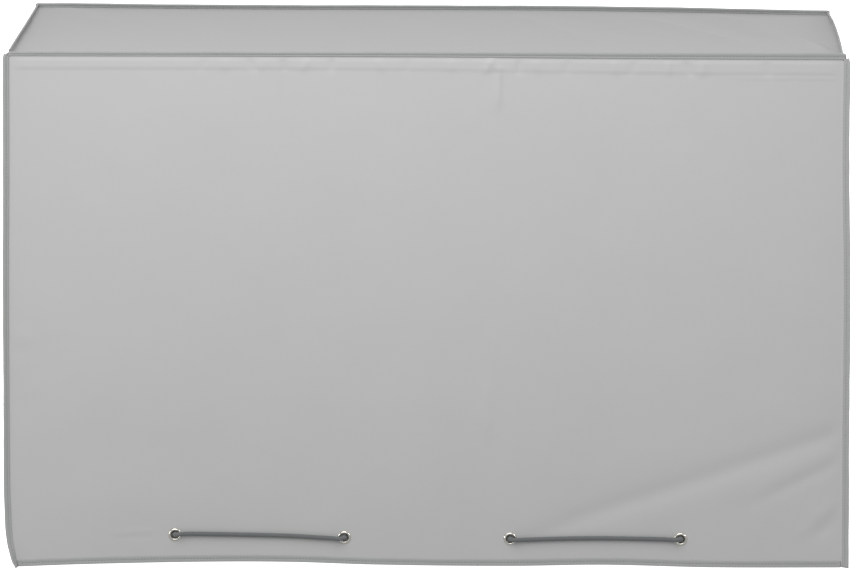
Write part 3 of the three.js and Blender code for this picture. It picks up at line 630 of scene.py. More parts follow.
    def turn_inset(self, lean, offset=0.0):
        """How far inside the seam line a panel turns out, for a layer offset from its middle."""
        return self.layer + (self.layer + offset) * np.tan(np.radians(lean) / 2)

    def wall_cloth(self, index, across, down, offset=0.0):
        """A wall's cloth. Past its half across, or above its seam, it is on a standing seam."""
        wall = self.walls[index]
        across, down = np.broadcast_arrays(np.asarray(across, float), np.asarray(down, float))
        offset = np.broadcast_to(offset, across.shape)
        at = np.clip(across / wall.length + 0.5, 0, 1)
        sunk = np.maximum(down, self.turn_inset(wall.seam_lean(at), offset))
        drop = sunk / self.height
        start = self.turn_inset(self.lines[index]["lean"](drop), offset) - wall.half
        end = wall.half - self.turn_inset(90 - self.lines[(index + 1) % 4]["lean"](drop), offset)
        point = self.off_wall(index, np.clip(across, start, end), sunk, offset)
        for side, corner in ((-1, index), (1, index + 1)):
            kept = np.maximum(sunk, self.trimmed_end)
            origin, along, n = self.corner_seam(corner, kept / self.height)
            beyond = (abs(across) - wall.half) * self.corner_width(corner, kept)
            turned = origin + along * beyond[..., None]
            turned = turned - side * n * (self.layer + offset)[..., None]
            point = np.where((across * side > wall.half)[..., None], turned, point)
        inside = wall.half - self.trimmed_end
        place = np.clip(across, -inside, inside) / wall.length + 0.5
        origin, along, n = self.top_seam(index, place)
        turned = origin + along * (-down * wall.seam_wide(place))[..., None]
        turned = turned + n * (self.layer + offset)[..., None]
        return np.where((down < 0)[..., None], turned, point)

    def top_cloth(self, x, y):
        """The top panel's cloth. Past its half width or depth it is on a standing seam."""
        x, y = np.broadcast_arrays(np.asarray(x, float), np.asarray(y, float))
        half_x, half_y = self.width / 2, self.depth / 2
        parts = (x / self.width, y / self.depth, -x / self.width, -y / self.depth)
        parts = [np.clip(part + 0.5, 0, 1) for part in parts]
        front, right, back, left = [
            self.turn_inset(90 - wall.seam_lean(part)) for wall, part in zip(self.walls, parts)
        ]
        field_x = np.clip(x, left - half_x, half_x - right)
        point = self.top_point(field_x, np.clip(y, front - half_y, half_y - back))
        beyond = (-y - half_y, x - half_x, y - half_y, -x - half_x)
        for index, (past, part) in enumerate(zip(beyond, parts)):
            trim = self.trimmed_end / self.walls[index].length
            place = np.clip(part, trim, 1 - trim)
            origin, along, side = self.top_seam(index, place)
            turned = origin - side * self.layer
            turned = turned + along * (past * self.walls[index].seam_wide(place))[..., None]
            point = np.where((past > 0)[..., None], turned, point)
        return point

    def hem_place(self, index, across, aside, up):
        """A place on the hem: off the cloth's middle, and up from its lower edge."""
        aside = np.broadcast_to(aside, across.shape)
        low = self.wall_cloth(index, across, self.height, aside)
        high = self.wall_cloth(index, across, self.height - self.hem_tape, aside)
        return low + unit(high - low) * np.asarray(up, float)[..., None]

    def eyelet_frame(self, index, eyelet):
        """Where an eyelet sits: its centre, the way along the wall and the way out."""
        across, down = eyelet
        high, low = self.eyelet_rows
        corners = [(-1, high), (1, high), (-1, low), (1, low)]
        a, b, c, d = [self.wall_point(index, across + x * self.eyelet_cell, y) for x, y in corners]
        part = (down - high) / (low - high)
        out = unit(np.cross(b - c, d - a))
        out = out * np.sign(out @ self.walls[index].out)
        return (a + b) / 2 * (1 - part) + (c + d) / 2 * part, unit(b - c + d - a), out

    def cord_stations(self):
        """The cord's middle line once round the hem, outside and inside by turns."""
        rest = self.leg + self.cord / 2 + CORD_SLACK
        stations = []
        outside = -1
        for index, wall in enumerate(self.walls):
            for away, inside in reversed(CORD_CORNER):
                place = (away - wall.half, wall.eyelets[0][1], -rest - inside)
                stations.append(self.off_wall(index, *place))
            for number, eyelet in enumerate(wall.eyelets):
                centre, along, out = self.eyelet_frame(index, eyelet)
                outside = -outside
                rise = UP * wall.cord_rise[number]
                for x, y in reversed(CORD_PASSAGE):
                    stations.append(centre - along * x - out * y * outside + rise * min(x / 5, 1))
                for x, y in CORD_PASSAGE:
                    stations.append(centre + along * x + out * y * outside + rise * min(x / 5, 1))
                for part in CORD_BETWEEN if number + 1 < len(wall.eyelets) else ():
                    place = np.array(eyelet) * (1 - part) + np.array(wall.eyelets[number + 1]) * part
                    lift = wall.cord_rise[number] * (1 - part) + wall.cord_rise[number + 1] * part
                    place = place - [0, lift]
                    stations.append(self.off_wall(index, *place, outside * rest))
            for away, inside in CORD_CORNER:
                place = (wall.half - away, wall.eyelets[-1][1], -rest - inside)
                stations.append(self.off_wall(index, *place))
        return np.array(stations)


def smooth_loop(points, step):
    """Points close together on one smooth closed curve through the stations."""
    before, start, end, after = [np.roll(points, k, axis=0) for k in (1, 0, -1, -2)]
    pairs = ((before, start), (start, end), (end, after))
    d0, d1, d2 = [np.linalg.norm(b - a, axis=1, keepdims=True) ** 0.5 for a, b in pairs]
    leave = ((start - before) / d0 - (end - before) / (d0 + d1) + (end - start) / d1) * d1
    arrive = ((end - start) / d1 - (after - start) / (d1 + d2) + (after - end) / d2) * d1
    pieces = []
    for a, b, m, n in zip(start, end, leave, arrive):
        count = max(2, round(np.linalg.norm(b - a) / step))
        t = np.arange(count)[:, None] / count
        pieces.append(a + m * t + (3 * (b - a) - 2 * m - n) * t**2 + (2 * (a - b) + m + n) * t**3)
    return np.concatenate(pieces)


def uneven(length, seed, wander):
    """A slow wander along a length, by its reach and the lengths of its sine waves."""
    reach, waves = wander
    draw = random.Random(seed)
    total = 0
    for wave in waves:
        total = total + np.sin(length / wave * 2 * math.pi + draw.uniform(0, 2 * math.pi))
    return reach * (total / len(waves))


def outlined(points):
    """Corners of a section as arrays, with the length along it."""
    points = np.array(points, float)
    steps = np.linalg.norm(np.diff(points, axis=0), axis=1)
    return points, np.concatenate([[0], np.cumsum(steps)])


def grid_sheet(across, down, place, missing=None, holes=(), radius=0.0):
    """A grid whose lines stand at the given places, cut, pierced and moved by a formula.
    Its UV map Cut holds each point's place in the flat cloth, in metres."""
    bm = bmesh.new()
    bmesh.ops.create_grid(bm, x_segments=len(across) - 1, y_segments=len(down) - 1, size=0.5)
    flat = np.array([v.co[:] for v in bm.verts])[:, :2] + 0.5
    x = across[np.rint(flat[:, 0] * (len(across) - 1)).astype(int)]
    y = down[np.rint(flat[:, 1] * (len(down) - 1)).astype(int)]
    cells = np.array([[v.index for v in face.verts] for face in bm.faces])
    middle_x, middle_y = x[cells].mean(axis=1), y[cells].mean(axis=1)
    gone = missing(middle_x, middle_y) if missing else np.zeros(len(cells), bool)
    for hole_x, hole_y in holes:
        inside = np.hypot(middle_x - hole_x, middle_y - hole_y) < radius
        rim = np.intersect1d(cells[inside], cells[~inside])
        away = np.hypot(x[rim] - hole_x, y[rim] - hole_y)
        x[rim] = hole_x + (x[rim] - hole_x) * radius / away
        y[rim] = hole_y + (y[rim] - hole_y) * radius / away
        gone |= inside
    for vert, point in zip(bm.verts, place(x, y) * MM):
        vert.co = point
    cut = bm.loops.layers.uv.new("Cut")
    for face in bm.faces:
        for loop in face.loops:
            loop[cut].uv = (x[loop.vert.index] * MM, y[loop.vert.index] * MM)
    bm.faces.ensure_lookup_table()
    removed = [bm.faces[k] for k in np.flatnonzero(gone)]
    bmesh.ops.delete(bm, geom=removed, context="FACES")
    return bm


def welded(bm):
    """Joins points that meet, and turns every face outward."""
    bmesh.ops.remove_doubles(bm, verts=bm.verts, dist=1e-7)
    bmesh.ops.recalc_face_normals(bm, faces=bm.faces)
    return bm


def facing(bm, outward):
    """Turns a sheet's faces so that they point outward, by a rule for one face."""
    bm.normal_update()
    if sum(outward(face) for face in bm.faces) < 0:
        bmesh.ops.reverse_faces(bm, faces=bm.faces)
    return bm


def finished(name, bm, material, nodes=(), thickness=0.0, angle=None):
    """A mesh object at the origin, riding on the frame, with its material and slot."""
    mesh = bpy.data.meshes.new(name)
    bm.to_mesh(mesh)
    bm.free()
    mesh.shade_smooth()
    piece = bpy.data.objects.new(name, mesh)
    bpy.context.scene.collection.objects.link(piece)
    mesh.materials.append(material)
    if thickness:
        wall = piece.modifiers.new("Thickness", "SOLIDIFY")
        wall.thickness = thickness
        wall.offset = 0
    if angle:
        mesh.set_sharp_from_angle(angle=angle)
    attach(piece, "root")
    if nodes:
        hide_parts(*nodes)
    return piece


def from_srgb(code):
    """A hex colour from a picture as linear red, green, blue and alpha."""
    parts = [int(code[k : k + 2], 16) / 255 for k in (1, 3, 5)]
    return (*[p / 12.92 if p <= 0.04045 else ((p + 0.055) / 1.055) ** 2.4 for p in parts], 1)


def add(tree, kind, values=None, links=None, **settings):
    """One node, with its own settings, the values of its sockets and what they link to.
    A link is a node, for its first output, or a node and the name or number of an output."""
    made = tree.nodes.new(kind)
    for name, value in settings.items():
        setattr(made, name, value)
    for socket, value in (values or {}).items():
        made.inputs[socket].default_value = value
    for socket, source in (links or {}).items():
        node, output = source if isinstance(source, tuple) else (source, 0)
        tree.links.new(node.outputs[output], made.inputs[socket])
    return made


def wave_scale(pitch):
    """The scale of a wave texture whose bands are a pitch apart, in millimetres."""
    return math.pi / (10 * pitch * MM)


def darker(colour, share):
    return (*[part * share for part in colour[:3]], 1)


def crossed_bands(tree, turns, pitch, operation):
    """Two sets of bands on the flat cut, turned by these degrees and set against each other."""
    cut = add(tree, "ShaderNodeUVMap", uv_map="Cut")
    bands = {}
    for number, turn in enumerate(turns):
        turned = add(
            tree, "ShaderNodeMapping", {"Rotation": (0, 0, math.radians(turn))}, {"Vector": cut}
        )
        wave = add(tree, "ShaderNodeTexWave", {"Scale": wave_scale(pitch)}, {"Vector": turned})
        bands[number] = (wave, "Fac")
    return add(tree, "ShaderNodeMath", None, bands, operation=operation)


def clouded(tree, colour, share, size, **values):
    """Clouds of this size in millimetres, and the colour that is darker by a share in them."""
    place = add(tree, "ShaderNodeTexCoord")
    noise = add(
        tree, "ShaderNodeTexNoise", {"Scale": 1 / (size * MM), **values}, {"Vector": (place, "Object")}
    )
    clouds = (noise, "Fac")
    tone = add(
        tree, "ShaderNodeMix", {6: darker(colour, share), 7: colour}, {0: clouds}, data_type="RGBA"
    )
    return clouds, (tone, 2)


def polyurethane_coated_polyester(tree, colour):
    """Plain-woven polyester with a polyurethane coat, rolled on: an even pale surface with a
    soft low gloss, a thread count too fine to see, and small wrinkles kept from its fold."""
    # Threads are 0.35 mm apart. They are drawn 0.9 mm apart, so that they just show near by.
    threads = crossed_bands(tree, (0, 90), 0.9, "MULTIPLY")
    clouds, tone = clouded(tree, colour, 0.965, 70, Detail=3, Roughness=0.5)
    wrinkles = add(
        tree, "ShaderNodeTexNoise",
        {"Scale": 1 / (26 * MM), "Detail": 2.5, "Roughness": 0.45, "Distortion": 0.6},
        {"Vector": (add(tree, "ShaderNodeTexCoord"), "Object")},
    )
    gloss = add(tree, "ShaderNodeMapRange", {"To Min": 0.5, "To Max": 0.66}, {"Value": clouds})
    soft = add(
        tree, "ShaderNodeBump", {"Strength": 0.5, "Distance": 0.5 * MM}, {"Height": (wrinkles, "Fac")}
    )
    fine = add(
        tree, "ShaderNodeBump", {"Strength": 0.25, "Distance": 0.05 * MM},
        {"Height": threads, "Normal": soft},
    )
    return add(
        tree, "ShaderNodeBsdfPrincipled",
        {"IOR": 1.5, "Sheen Weight": 0.12, "Sheen Roughness": 0.5},
        {"Base Color": tone, "Roughness": gloss, "Normal": fine},
    )


def woven_polyester_tape(tree, colour):
    """Polyester binding tape, woven with fine ribs across it: matt, and darker than the cloth."""
    ribs = add(
        tree, "ShaderNodeTexWave", {"Scale": wave_scale(0.8), "Distortion": 0.4, "Detail": 1},
        {"Vector": add(tree, "ShaderNodeUVMap", uv_map="Cut")},
    )
    tone = clouded(tree, colour, 0.93, 24, Detail=3)[1]
    bump = add(
        tree, "ShaderNodeBump", {"Strength": 0.5, "Distance": 0.15 * MM}, {"Height": (ribs, "Fac")}
    )
    return add(
        tree, "ShaderNodeBsdfPrincipled", {"Roughness": 0.85, "IOR": 1.45, "Sheen Weight": 0.2},
        {"Base Color": tone, "Normal": bump},
    )


def spun_polyester_thread(tree, colour):
    """Spun polyester thread, two plies twisted: small matt stitches that stand off the tape."""
    # The thread's dark colour also paints the shade of the stitch groove along each tape
    tone = clouded(tree, colour, 0.85, 0.6)[1]
    return add(
        tree, "ShaderNodeBsdfPrincipled", {"Roughness": 0.7, "IOR": 1.5, "Sheen Weight": 0.2},
        {"Base Color": tone},
    )


def nickel_plated_brass(tree, colour):
    """Nickel-plated brass, stamped and rolled: a bright warm metal with faint die marks."""
    noise = add(
        tree, "ShaderNodeTexNoise", {"Scale": 1 / (1.5 * MM), "Detail": 3},
        {"Vector": (add(tree, "ShaderNodeTexCoord"), "Object")},
    )
    marks = (noise, "Fac")
    gloss = add(tree, "ShaderNodeMapRange", {"To Min": 0.16, "To Max": 0.32}, {"Value": marks})
    bump = add(tree, "ShaderNodeBump", {"Strength": 0.2, "Distance": 0.02 * MM}, {"Height": marks})
    return add(
        tree, "ShaderNodeBsdfPrincipled", {"Base Color": colour, "Metallic": 1.0},
        {"Roughness": gloss, "Normal": bump},
    )


def braided_polyester_elastic(tree, colour):
    """Polyester yarn braided over a rubber core: diagonal strands, matt, with a dull highlight."""
    braid = crossed_bands(tree, (38, -38), 1.25, "MAXIMUM")
    tone = add(
        tree, "ShaderNodeMix", {6: darker(colour, 0.7), 7: colour}, {0: braid}, data_type="RGBA"
    )
    bump = add(tree, "ShaderNodeBump", {"Strength": 0.8, "Distance": 0.3 * MM}, {"Height": braid})
    return add(
        tree, "ShaderNodeBsdfPrincipled", {"Roughness": 0.75, "IOR": 1.5, "Sheen Weight": 0.3},
        {"Base Color": (tone, 2), "Normal": bump},
    )


def matt_white_paper(tree):
    """Matt white paper that glows white, kept dim under the cover by a painted shade."""
    white = from_srgb("#fbfbfb")
    middle = add(
        tree, "ShaderNodeVectorMath", {1: (0, -PAINTED_SHADE_BACK, 0)},
        {0: (add(tree, "ShaderNodeTexCoord"), "Object")}, operation="ADD",
    )
    sides = add(tree, "ShaderNodeSeparateXYZ", None, {0: middle})
    # Painted shade: the glow falls to nothing inside a soft rectangle under the cover
    glow_past_painted_shade = {}
    for number, (side, half) in enumerate(PAINTED_SHADE):
        away = add(tree, "ShaderNodeMath", None, {0: (sides, side)}, operation="ABSOLUTE")
        glow_past_painted_shade[number] = add(
            tree, "ShaderNodeMapRange",
            {"From Min": half, "From Max": half + PAINTED_SHADE_EDGE, "To Max": GLOW}, {"Value": away},
        )
    glow_with_painted_shade = add(tree, "ShaderNodeMath", None, glow_past_painted_shade, operation="MAXIMUM")
    return add(
        tree, "ShaderNodeBsdfPrincipled",
        {"Base Color": white, "Roughness": 1.0, "Specular IOR Level": 0.0, "Emission Color": white},
        {"Emission Strength": glow_with_painted_shade},
    )


def kept(build, *colour):
    """The material that a function builds and names, made once: its shader and its output."""
    name = build.__name__
    if name not in MADE:
        MADE[name] = bpy.data.materials.new(name)
        MADE[name].use_nodes = True
        tree = MADE[name].node_tree
        tree.nodes.clear()
        add(tree, "ShaderNodeOutputMaterial", None, {"Surface": build(tree, *colour)})
    return MADE[name]


def wall_columns(wall, step):
    """Grid lines across a wall: its seam at both ends, closer lines round each eyelet."""
    stretches = [(-wall.half, step)]
    for across, _ in wall.eyelets:
        stretches += [(across - EYELET_FIELD, step), (across + EYELET_FIELD, EYELET_STEP)]
    field = spread(*stretches, (wall.half, step))
    return np.concatenate([-wall.half - SEAM_LINES[::-1], field, wall.half + SEAM_LINES])


def wall_rows(cover, step):
    """Grid lines down a wall: its seam, the puckered strip, the field, the eyelets, the hem."""
    field = spread(
        (0, 2), (PUCKERED, 2), (EYELET_TOP, step), (EYELET_FOOT, EYELET_STEP), (cover.height, 3)
    )
    return np.concatenate([-SEAM_LINES[::-1], field])


def top_lines(half, step):
    """Grid lines of the top panel one way: its seam, its edge, its field."""
    field = spread((-half, step), (-half + 12, 3), (half - 12, step), (half, 3))
    return np.concatenate([-half - SEAM_LINES[::-1], field, half + SEAM_LINES])


def length_property(name, default, description):
    """A length to set in the panel, in metres."""
    return bpy.props.FloatProperty(name=name, description=description, default=default, unit="LENGTH")


def angle_property(name, degrees, description):
    """An angle to set in the panel."""
    return bpy.props.FloatProperty(
        name=name, description=description, default=math.radians(degrees), subtype="ANGLE"
    )


def colour_property(name, code):
    """A colour to choose in the panel, from its hex code."""
    return bpy.props.FloatVectorProperty(
        name=name, description=f"Colour of the {name.lower()}", size=4, subtype="COLOR",
        default=from_srgb(code),
    )


class CoverSizes(bpy.types.PropertyGroup):
    """Driving sizes of the cover. Its tables of folds and edges stand on them."""

    width: length_property("Width", 0.9, "Between the corner seams, from the front")
    depth: length_property("Depth", 0.4, "Between the front and back walls")
    height: length_property("Height", 0.56, "From the top seam to the hem")
    cloth: length_property("Cloth", 0.0004, "Thickness of the coated cloth")
    gap: length_property("Gap", 0.00015, "Space between sewn layers")
    tape: length_property("Tape", 0.0004, "Thickness of the binding tape")
    tape_reach: length_property("Tape reach", 0.0084, "How far the folded tape stands out")
    hem_tape: length_property("Hem tape", 0.0074, "Height of the tape on the hem")
    allowance: length_property("Allowance", 0.0072, "Cloth that stands in each seam")
    cord: length_property("Cord", 0.0048, "Diameter of the elastic drawcord")
    eyelet_hole: length_property("Eyelet hole", 0.0086, "Clear hole of an eyelet")
    eyelet_outside: length_property("Eyelet outside", 0.0144, "Across an eyelet's rolled rim")
    stitch: length_property("Stitch", 0.0026, "Length of one stitch")
    stitch_pitch: length_property("Stitch pitch", 0.0036, "From one stitch to the next")
    thread: length_property("Thread", 0.0006, "Thickness of the sewing thread")


class CoverColours(bpy.types.PropertyGroup):
    """Colours of the cover's cloth, tape, thread, metal and cord."""

    cloth: colour_property("Coated cloth", "#adaead")
    tape: colour_property("Binding tape", "#9c9e9d")
    # Darker than a matching thread: this colour also stands in for the shade in the stitch groove, as
    # painted shade
    thread: colour_property("Sewing thread", "#747675")
    nickel: colour_property("Nickel plate", "#cfccc4")
    elastic: colour_property("Elastic cord", "#5d6061")


class CoverStudio(bpy.types.PropertyGroup):
    """The camera's place and the strength of the light."""

    elevation: angle_property("Elevation", 9.79, "Camera above level")
    turn: angle_property("Turn", 0.69, "Camera to the right of square on")
    distance: length_property("Distance", 6.443, "Camera to the point it looks at")
    aim: bpy.props.FloatVectorProperty(
        name="Aim", description="The point the camera looks at", default=(-0.002, 0, -0.285),
        subtype="XYZ",
    )
    lens: bpy.props.FloatProperty(
        name="Lens", description="Focal length, in millimetres", default=242.2
    )
    floor_below: length_property("Floor below", 0.001, "From the hem down to the floor")
    key: bpy.props.FloatProperty(
        name="Key light", description="Power of the large soft light", default=46.5, unit="POWER"
    )
    glint: bpy.props.FloatProperty(
        name="Glint", description="Power of the lights that only gloss shows", default=12, unit="POWER"
    )
    sky: bpy.props.FloatProperty(
        name="Surround", description="Brightness of the white room", default=0.53
    )


def workbench(context, build, name):
    """The driving sizes, the cover that they give, and a material in its chosen colour."""
    sizes, colours = context.scene.cover_sizes, context.scene.cover_colours
    return sizes, Cover(sizes), kept(build, tuple(getattr(colours, name)))


def bound(name, bm, finish, sizes):
    """A finished strip of tape, in place of the frame's binding of that name."""
    finished(f"{name}_tape", bm, finish, [f"{name}_binding"], sizes.tape)


class COVER_OT_panels(bpy.types.Operator):
    """Cuts the five panels of coated cloth and hangs them on the frame's folds"""

    bl_idname = "cover.panels"
    bl_label = "Cut the panels"

    def execute(self, context):
        sizes, cover, finish = workbench(context, polyurethane_coated_polyester, "cloth")
        for index, wall in enumerate(cover.walls):
            bm = grid_sheet(
                wall_columns(wall, CLOTH_STEPS[wall.name][0]),
                wall_rows(cover, CLOTH_STEPS[wall.name][1]),
                lambda x, y: cover.wall_cloth(index, x, y),
                lambda x, y: (abs(x) > wall.half) & (y < 0),
                wall.eyelets,
                cover.eyelet_hole / 2 + EYELET_WALL,
            )
            facing(bm, lambda face: face.normal @ Vector(wall.out))
            finished(f"{wall.name}_cloth", bm, finish, [f"{wall.name}_panel"], sizes.cloth)
        bm = grid_sheet(
            top_lines(cover.width / 2, CLOTH_STEPS["top"][0]),
            top_lines(cover.depth / 2, CLOTH_STEPS["top"][1]),
            cover.top_cloth,
            lambda x, y: (abs(x) > cover.width / 2) & (abs(y) > cover.depth / 2),
        )
        facing(bm, lambda face: face.normal.z)
        finished("top_cloth", bm, finish, ["top_panel"], sizes.cloth)
        return {"FINISHED"}


class COVER_OT_seam_tapes(bpy.types.Operator):
    """Folds the binding tape over the standing seams at the corners and round the top"""

    bl_idname = "cover.seam_tapes"
    bl_label = "Bind the seams"

    def execute(self, context):
        sizes, cover, finish = workbench(context, woven_polyester_tape, "tape")
        for index, corner in enumerate(CORNERS):
            drops = spread(
                (corner["start"], 2), (16, 2), (cover.height - 20, 5),
                (cover.height + cover.hem_foot, 2),
            )
            frames = cover.corner_seam(index, drops / cover.height)
            wide, peak = cover.corner_width(index, drops), cover.corner_peak(index, drops)
            bm = folded_tape(cover, drops, frames, corner["name"], wide, TAPE_START, peak)
            bound(corner["name"], bm, finish, sizes)
        for index, wall in enumerate(cover.walls):
            across, frames = top_tape_frames(cover, index)
            at = across / wall.length + 0.5
            wide, start = wall.seam_wide(at), cover.tape_start(wall.seam_lean(at))
            bm = folded_tape(cover, across, frames, wall.name, wide, start)
            bound(f"top_{wall.name}", bm, finish, sizes)
        return {"FINISHED"}


def top_tape_frames(cover, index):
    """Places along a top seam. Front and back tapes run out over the corners."""
    wall = cover.walls[index]
    across = spread(
        (-wall.half - wall.ends[0], 2), (-wall.half + 6, 2),
        (wall.half - 6, 5), (wall.half + wall.ends[1], 2),
    )
    inside = np.clip(across, -wall.half, wall.half)
    origin, along, side = cover.top_seam(index, inside / wall.length + 0.5)
    beyond = across - inside
    origin = origin + wall.along * beyond[:, None] - UP * DROOP * abs(beyond)[:, None]
    return across, (origin, along, side)


def tape_section(cover):
    """The folded tape's section: up from the seam and aside from its middle."""
    middle = cover.tape_middle
    top = cover.tape_reach - cover.tape / 2 - TAPE_FOLD
    legs = np.linspace(TAPE_START, top, TAPE_LINES)
    drawn = STITCH_DEEP * bell(legs - STITCH_LINE, STITCH_DENT)
    leg = [(up, middle - deep) for up, deep in zip(legs, drawn)]
    turns = np.linspace(math.pi / 2, -math.pi / 2, TAPE_LINES)[1:-1]
    over = [(top + TAPE_FOLD * math.cos(turn), middle * math.sin(turn)) for turn in turns]
    return outlined(leg + over + [(up, -aside) for up, aside in reversed(leg)])


def folded_tape(cover, places, frames, seed, wide, start, peak=0.0):
    """A strip of tape folded over a standing seam, a little uneven along its length.
    It begins some way up the seam, and may peak: rise more, the further out it is."""
    section, arc = tape_section(cover)
    origin, along, side = frames
    wide = wide * (1 + uneven(places, seed, WIDTH_WANDER))
    start, peak = np.broadcast_to(start, places.shape), np.broadcast_to(peak, places.shape)
    proud = uneven(places, seed + "proud", PROUD_WANDER)

    def place(x, y):
        at = np.rint(np.interp(x, places, np.arange(len(places)))).astype(int)
        up = np.interp(y, arc, section[:, 0])
        aside = np.interp(y, arc, section[:, 1])
        risen = (up - TAPE_START) * wide[at]
        aside = aside + np.sign(aside) * np.maximum(proud[at], 0) * (risen > 1)
        up = start[at] + risen
        point = origin[at] + along[at] * up[:, None] + side[at] * aside[:, None]
        return point + UP * (peak[at] * np.maximum(up - PEAK_FROM, 0))[:, None]

    bm = grid_sheet(places, arc, place)
    return facing(bm, away_from(origin + along * STITCH_LINE))


def away_from(line):
    """A rule for facing: how far a face looks away from the nearest point of a line."""

    def rule(face):
        point = np.array(face.calc_center_median()) / MM
        nearest = line[np.argmin(((line - point) ** 2).sum(axis=1))]
        return face.normal @ Vector(point - nearest)

    return rule


class COVER_OT_hem_tapes(bpy.types.Operator):
    """Folds the same tape over the hem of each wall"""

    bl_idname = "cover.hem_tapes"
    bl_label = "Bind the hem"

    def execute(self, context):
        sizes, cover, finish = workbench(context, woven_polyester_tape, "tape")
        section, arc = hem_section(cover)
        turn = arc[len(arc) // 2]
        for index, wall in enumerate(cover.walls):
            inner = wall.half - HEM_TRIM
            outer = wall.half - cover.hem_reach
            across = spread((-outer, 1.5), (-inner, 1.5), (inner, 5), (outer, 1.5))

            def place(x, y):
                aside = np.interp(y, arc, section[:, 0])
                up = np.interp(y, arc, section[:, 1])
                up = up + (up > 2) * uneven(x, wall.name, HEM_WANDER)
                return cover.hem_place(index, x, aside, up)

            bm = grid_sheet(across, arc, place, lambda x, y: (abs(x) > inner) & (y > turn + 0.2))
            facing(bm, away_from(cover.hem_place(index, across, 0.0, HEM_STITCH)))
            bound(f"hem_{wall.name}", bm, finish, sizes)
        return {"FINISHED"}


def hem_section(cover):
    """The hem tape's section: off the cloth's middle and up from its edge."""
    middle = cover.leg + cover.tape / 2
    legs = np.linspace(cover.hem_leg, HEM_FOLD, HEM_LINES)
    drawn = HEM_DEEP * bell(legs - HEM_STITCH, HEM_DENT)
    leg = [(middle - deep, up) for up, deep in zip(legs, drawn)]
    turns = np.linspace(0, math.pi, HEM_LINES)[1:-1]
    floor = cover.gap + cover.tape / 2 + HEM_FOLD
    under = [(middle * math.cos(turn), HEM_FOLD - floor * math.sin(turn)) for turn in turns]
    return outlined(leg + under + [(-aside, up) for aside, up in reversed(leg)])


class COVER_OT_stitches(bpy.types.Operator):
    """Sews the stitches that hold the tape along every seam and the hem"""

    bl_idname = "cover.stitches"
    bl_label = "Sew the stitches"

    def execute(self, context):
        sizes, cover, finish = workbench(context, spun_polyester_thread, "thread")
        pitch = cover.stitch_pitch
        stand = cover.tape_middle - STITCH_DEEP + cover.tape / 2
        seams = {}
        for index, corner in enumerate(CORNERS):
            drops = np.arange(corner["taper"], cover.height - 3, pitch)
            frames = cover.corner_seam(index, drops / cover.height)
            line = np.full(len(drops), STITCH_LINE)
            seams[f"{corner['name']}_stitches"] = both_faces(frames, line, stand)
        for index, wall in enumerate(cover.walls):
            at = np.arange(-wall.half + 4, wall.half - 4, pitch) / wall.length + 0.5
            line = (STITCH_LINE - TAPE_START) * wall.seam_wide(at)
            line = cover.tape_start(wall.seam_lean(at)) + line
            seams[f"top_{wall.name}_stitches"] = both_faces(cover.top_seam(index, at), line, stand)
            across = np.arange(-wall.half + HEM_TRIM + 2, wall.half - HEM_TRIM - 2, pitch)
            lift = cover.leg + cover.tape - STITCH_SUNK
            rows = []
            for aside in (lift, -lift):
                points = cover.hem_place(index, across, aside, HEM_STITCH)
                inner = cover.hem_place(index, across, 0.0, HEM_STITCH)
                rows.append((points, unit(points - inner)))
            seams[f"hem_{wall.name}_stitches"] = [np.concatenate(part) for part in zip(*rows)]
        template = bmesh.new()
        bmesh.ops.create_uvsphere(template, u_segments=6, v_segments=4, radius=0.5)
        for name, (points, out) in seams.items():
            bm = sewn(template, points, out, sizes)
            finished(name, bm, finish)
        template.free()
        return {"FINISHED"}


def both_faces(frames, line, stand):
    """Places of stitches on both faces of a folded tape, and the way each one faces."""
    origin, along, side = frames
    middle = origin + along * line[:, None]
    points = np.concatenate([middle + side * stand, middle - side * stand])
    return points, np.concatenate([side, -side])


def sewn(template, points, out, sizes):
    """One mesh of small stitches, each lying along its row and facing out."""
    half = len(points) // 2
    ahead = np.concatenate([np.gradient(points[:half], axis=0), np.gradient(points[half:], axis=0)])
    ahead = unit(ahead)
    aside = unit(np.cross(out, ahead))
    axes = np.stack([ahead * sizes.stitch, aside * sizes.thread, out * sizes.thread], axis=-1)
    shape = np.array([vert.co[:] for vert in template.verts])
    ring = np.array([shape[:, 2], shape[:, 0], shape[:, 1]]).T
    placed = np.einsum("kij,vj->kvi", axes, ring) + points[:, None] * MM
    faces = [[vert.index for vert in face.verts] for face in template.faces]
    count = len(shape)
    mesh = bpy.data.meshes.new("stitches")
    copies = [[v + k * count for v in face] for k in range(len(points)) for face in faces]
    mesh.from_pydata(placed.reshape(-1, 3).tolist(), [], copies)
    bm = bmesh.new()
    bm.from_mesh(mesh)
    bpy.data.meshes.remove(mesh)
    bmesh.ops.recalc_face_normals(bm, faces=bm.faces)
    return bm


class COVER_OT_eyelets(bpy.types.Operator):
    """Stamps the rolled nickel eyelets and sets them above the hem"""

    bl_idname = "cover.eyelets"
    bl_label = "Set the eyelets"

    def execute(self, context):
        _, cover, finish = workbench(context, nickel_plated_brass, "nickel")
        for index, wall in enumerate(cover.walls):
            for number, eyelet in enumerate(wall.eyelets):
                centre, along, out = cover.eyelet_frame(index, eyelet)
                bm = rolled_eyelet(cover)
                turn = Matrix(np.stack([along, np.cross(out, along), out], axis=-1).tolist()).to_4x4()
                bmesh.ops.transform(bm, matrix=Matrix.Translation(centre * MM) @ turn, verts=bm.verts)
                name = f"{wall.name}_eyelet_{number + 1}"
                finished(f"{name}_ring", bm, finish, [name], angle=EYELET_SHARP)
        return {"FINISHED"}


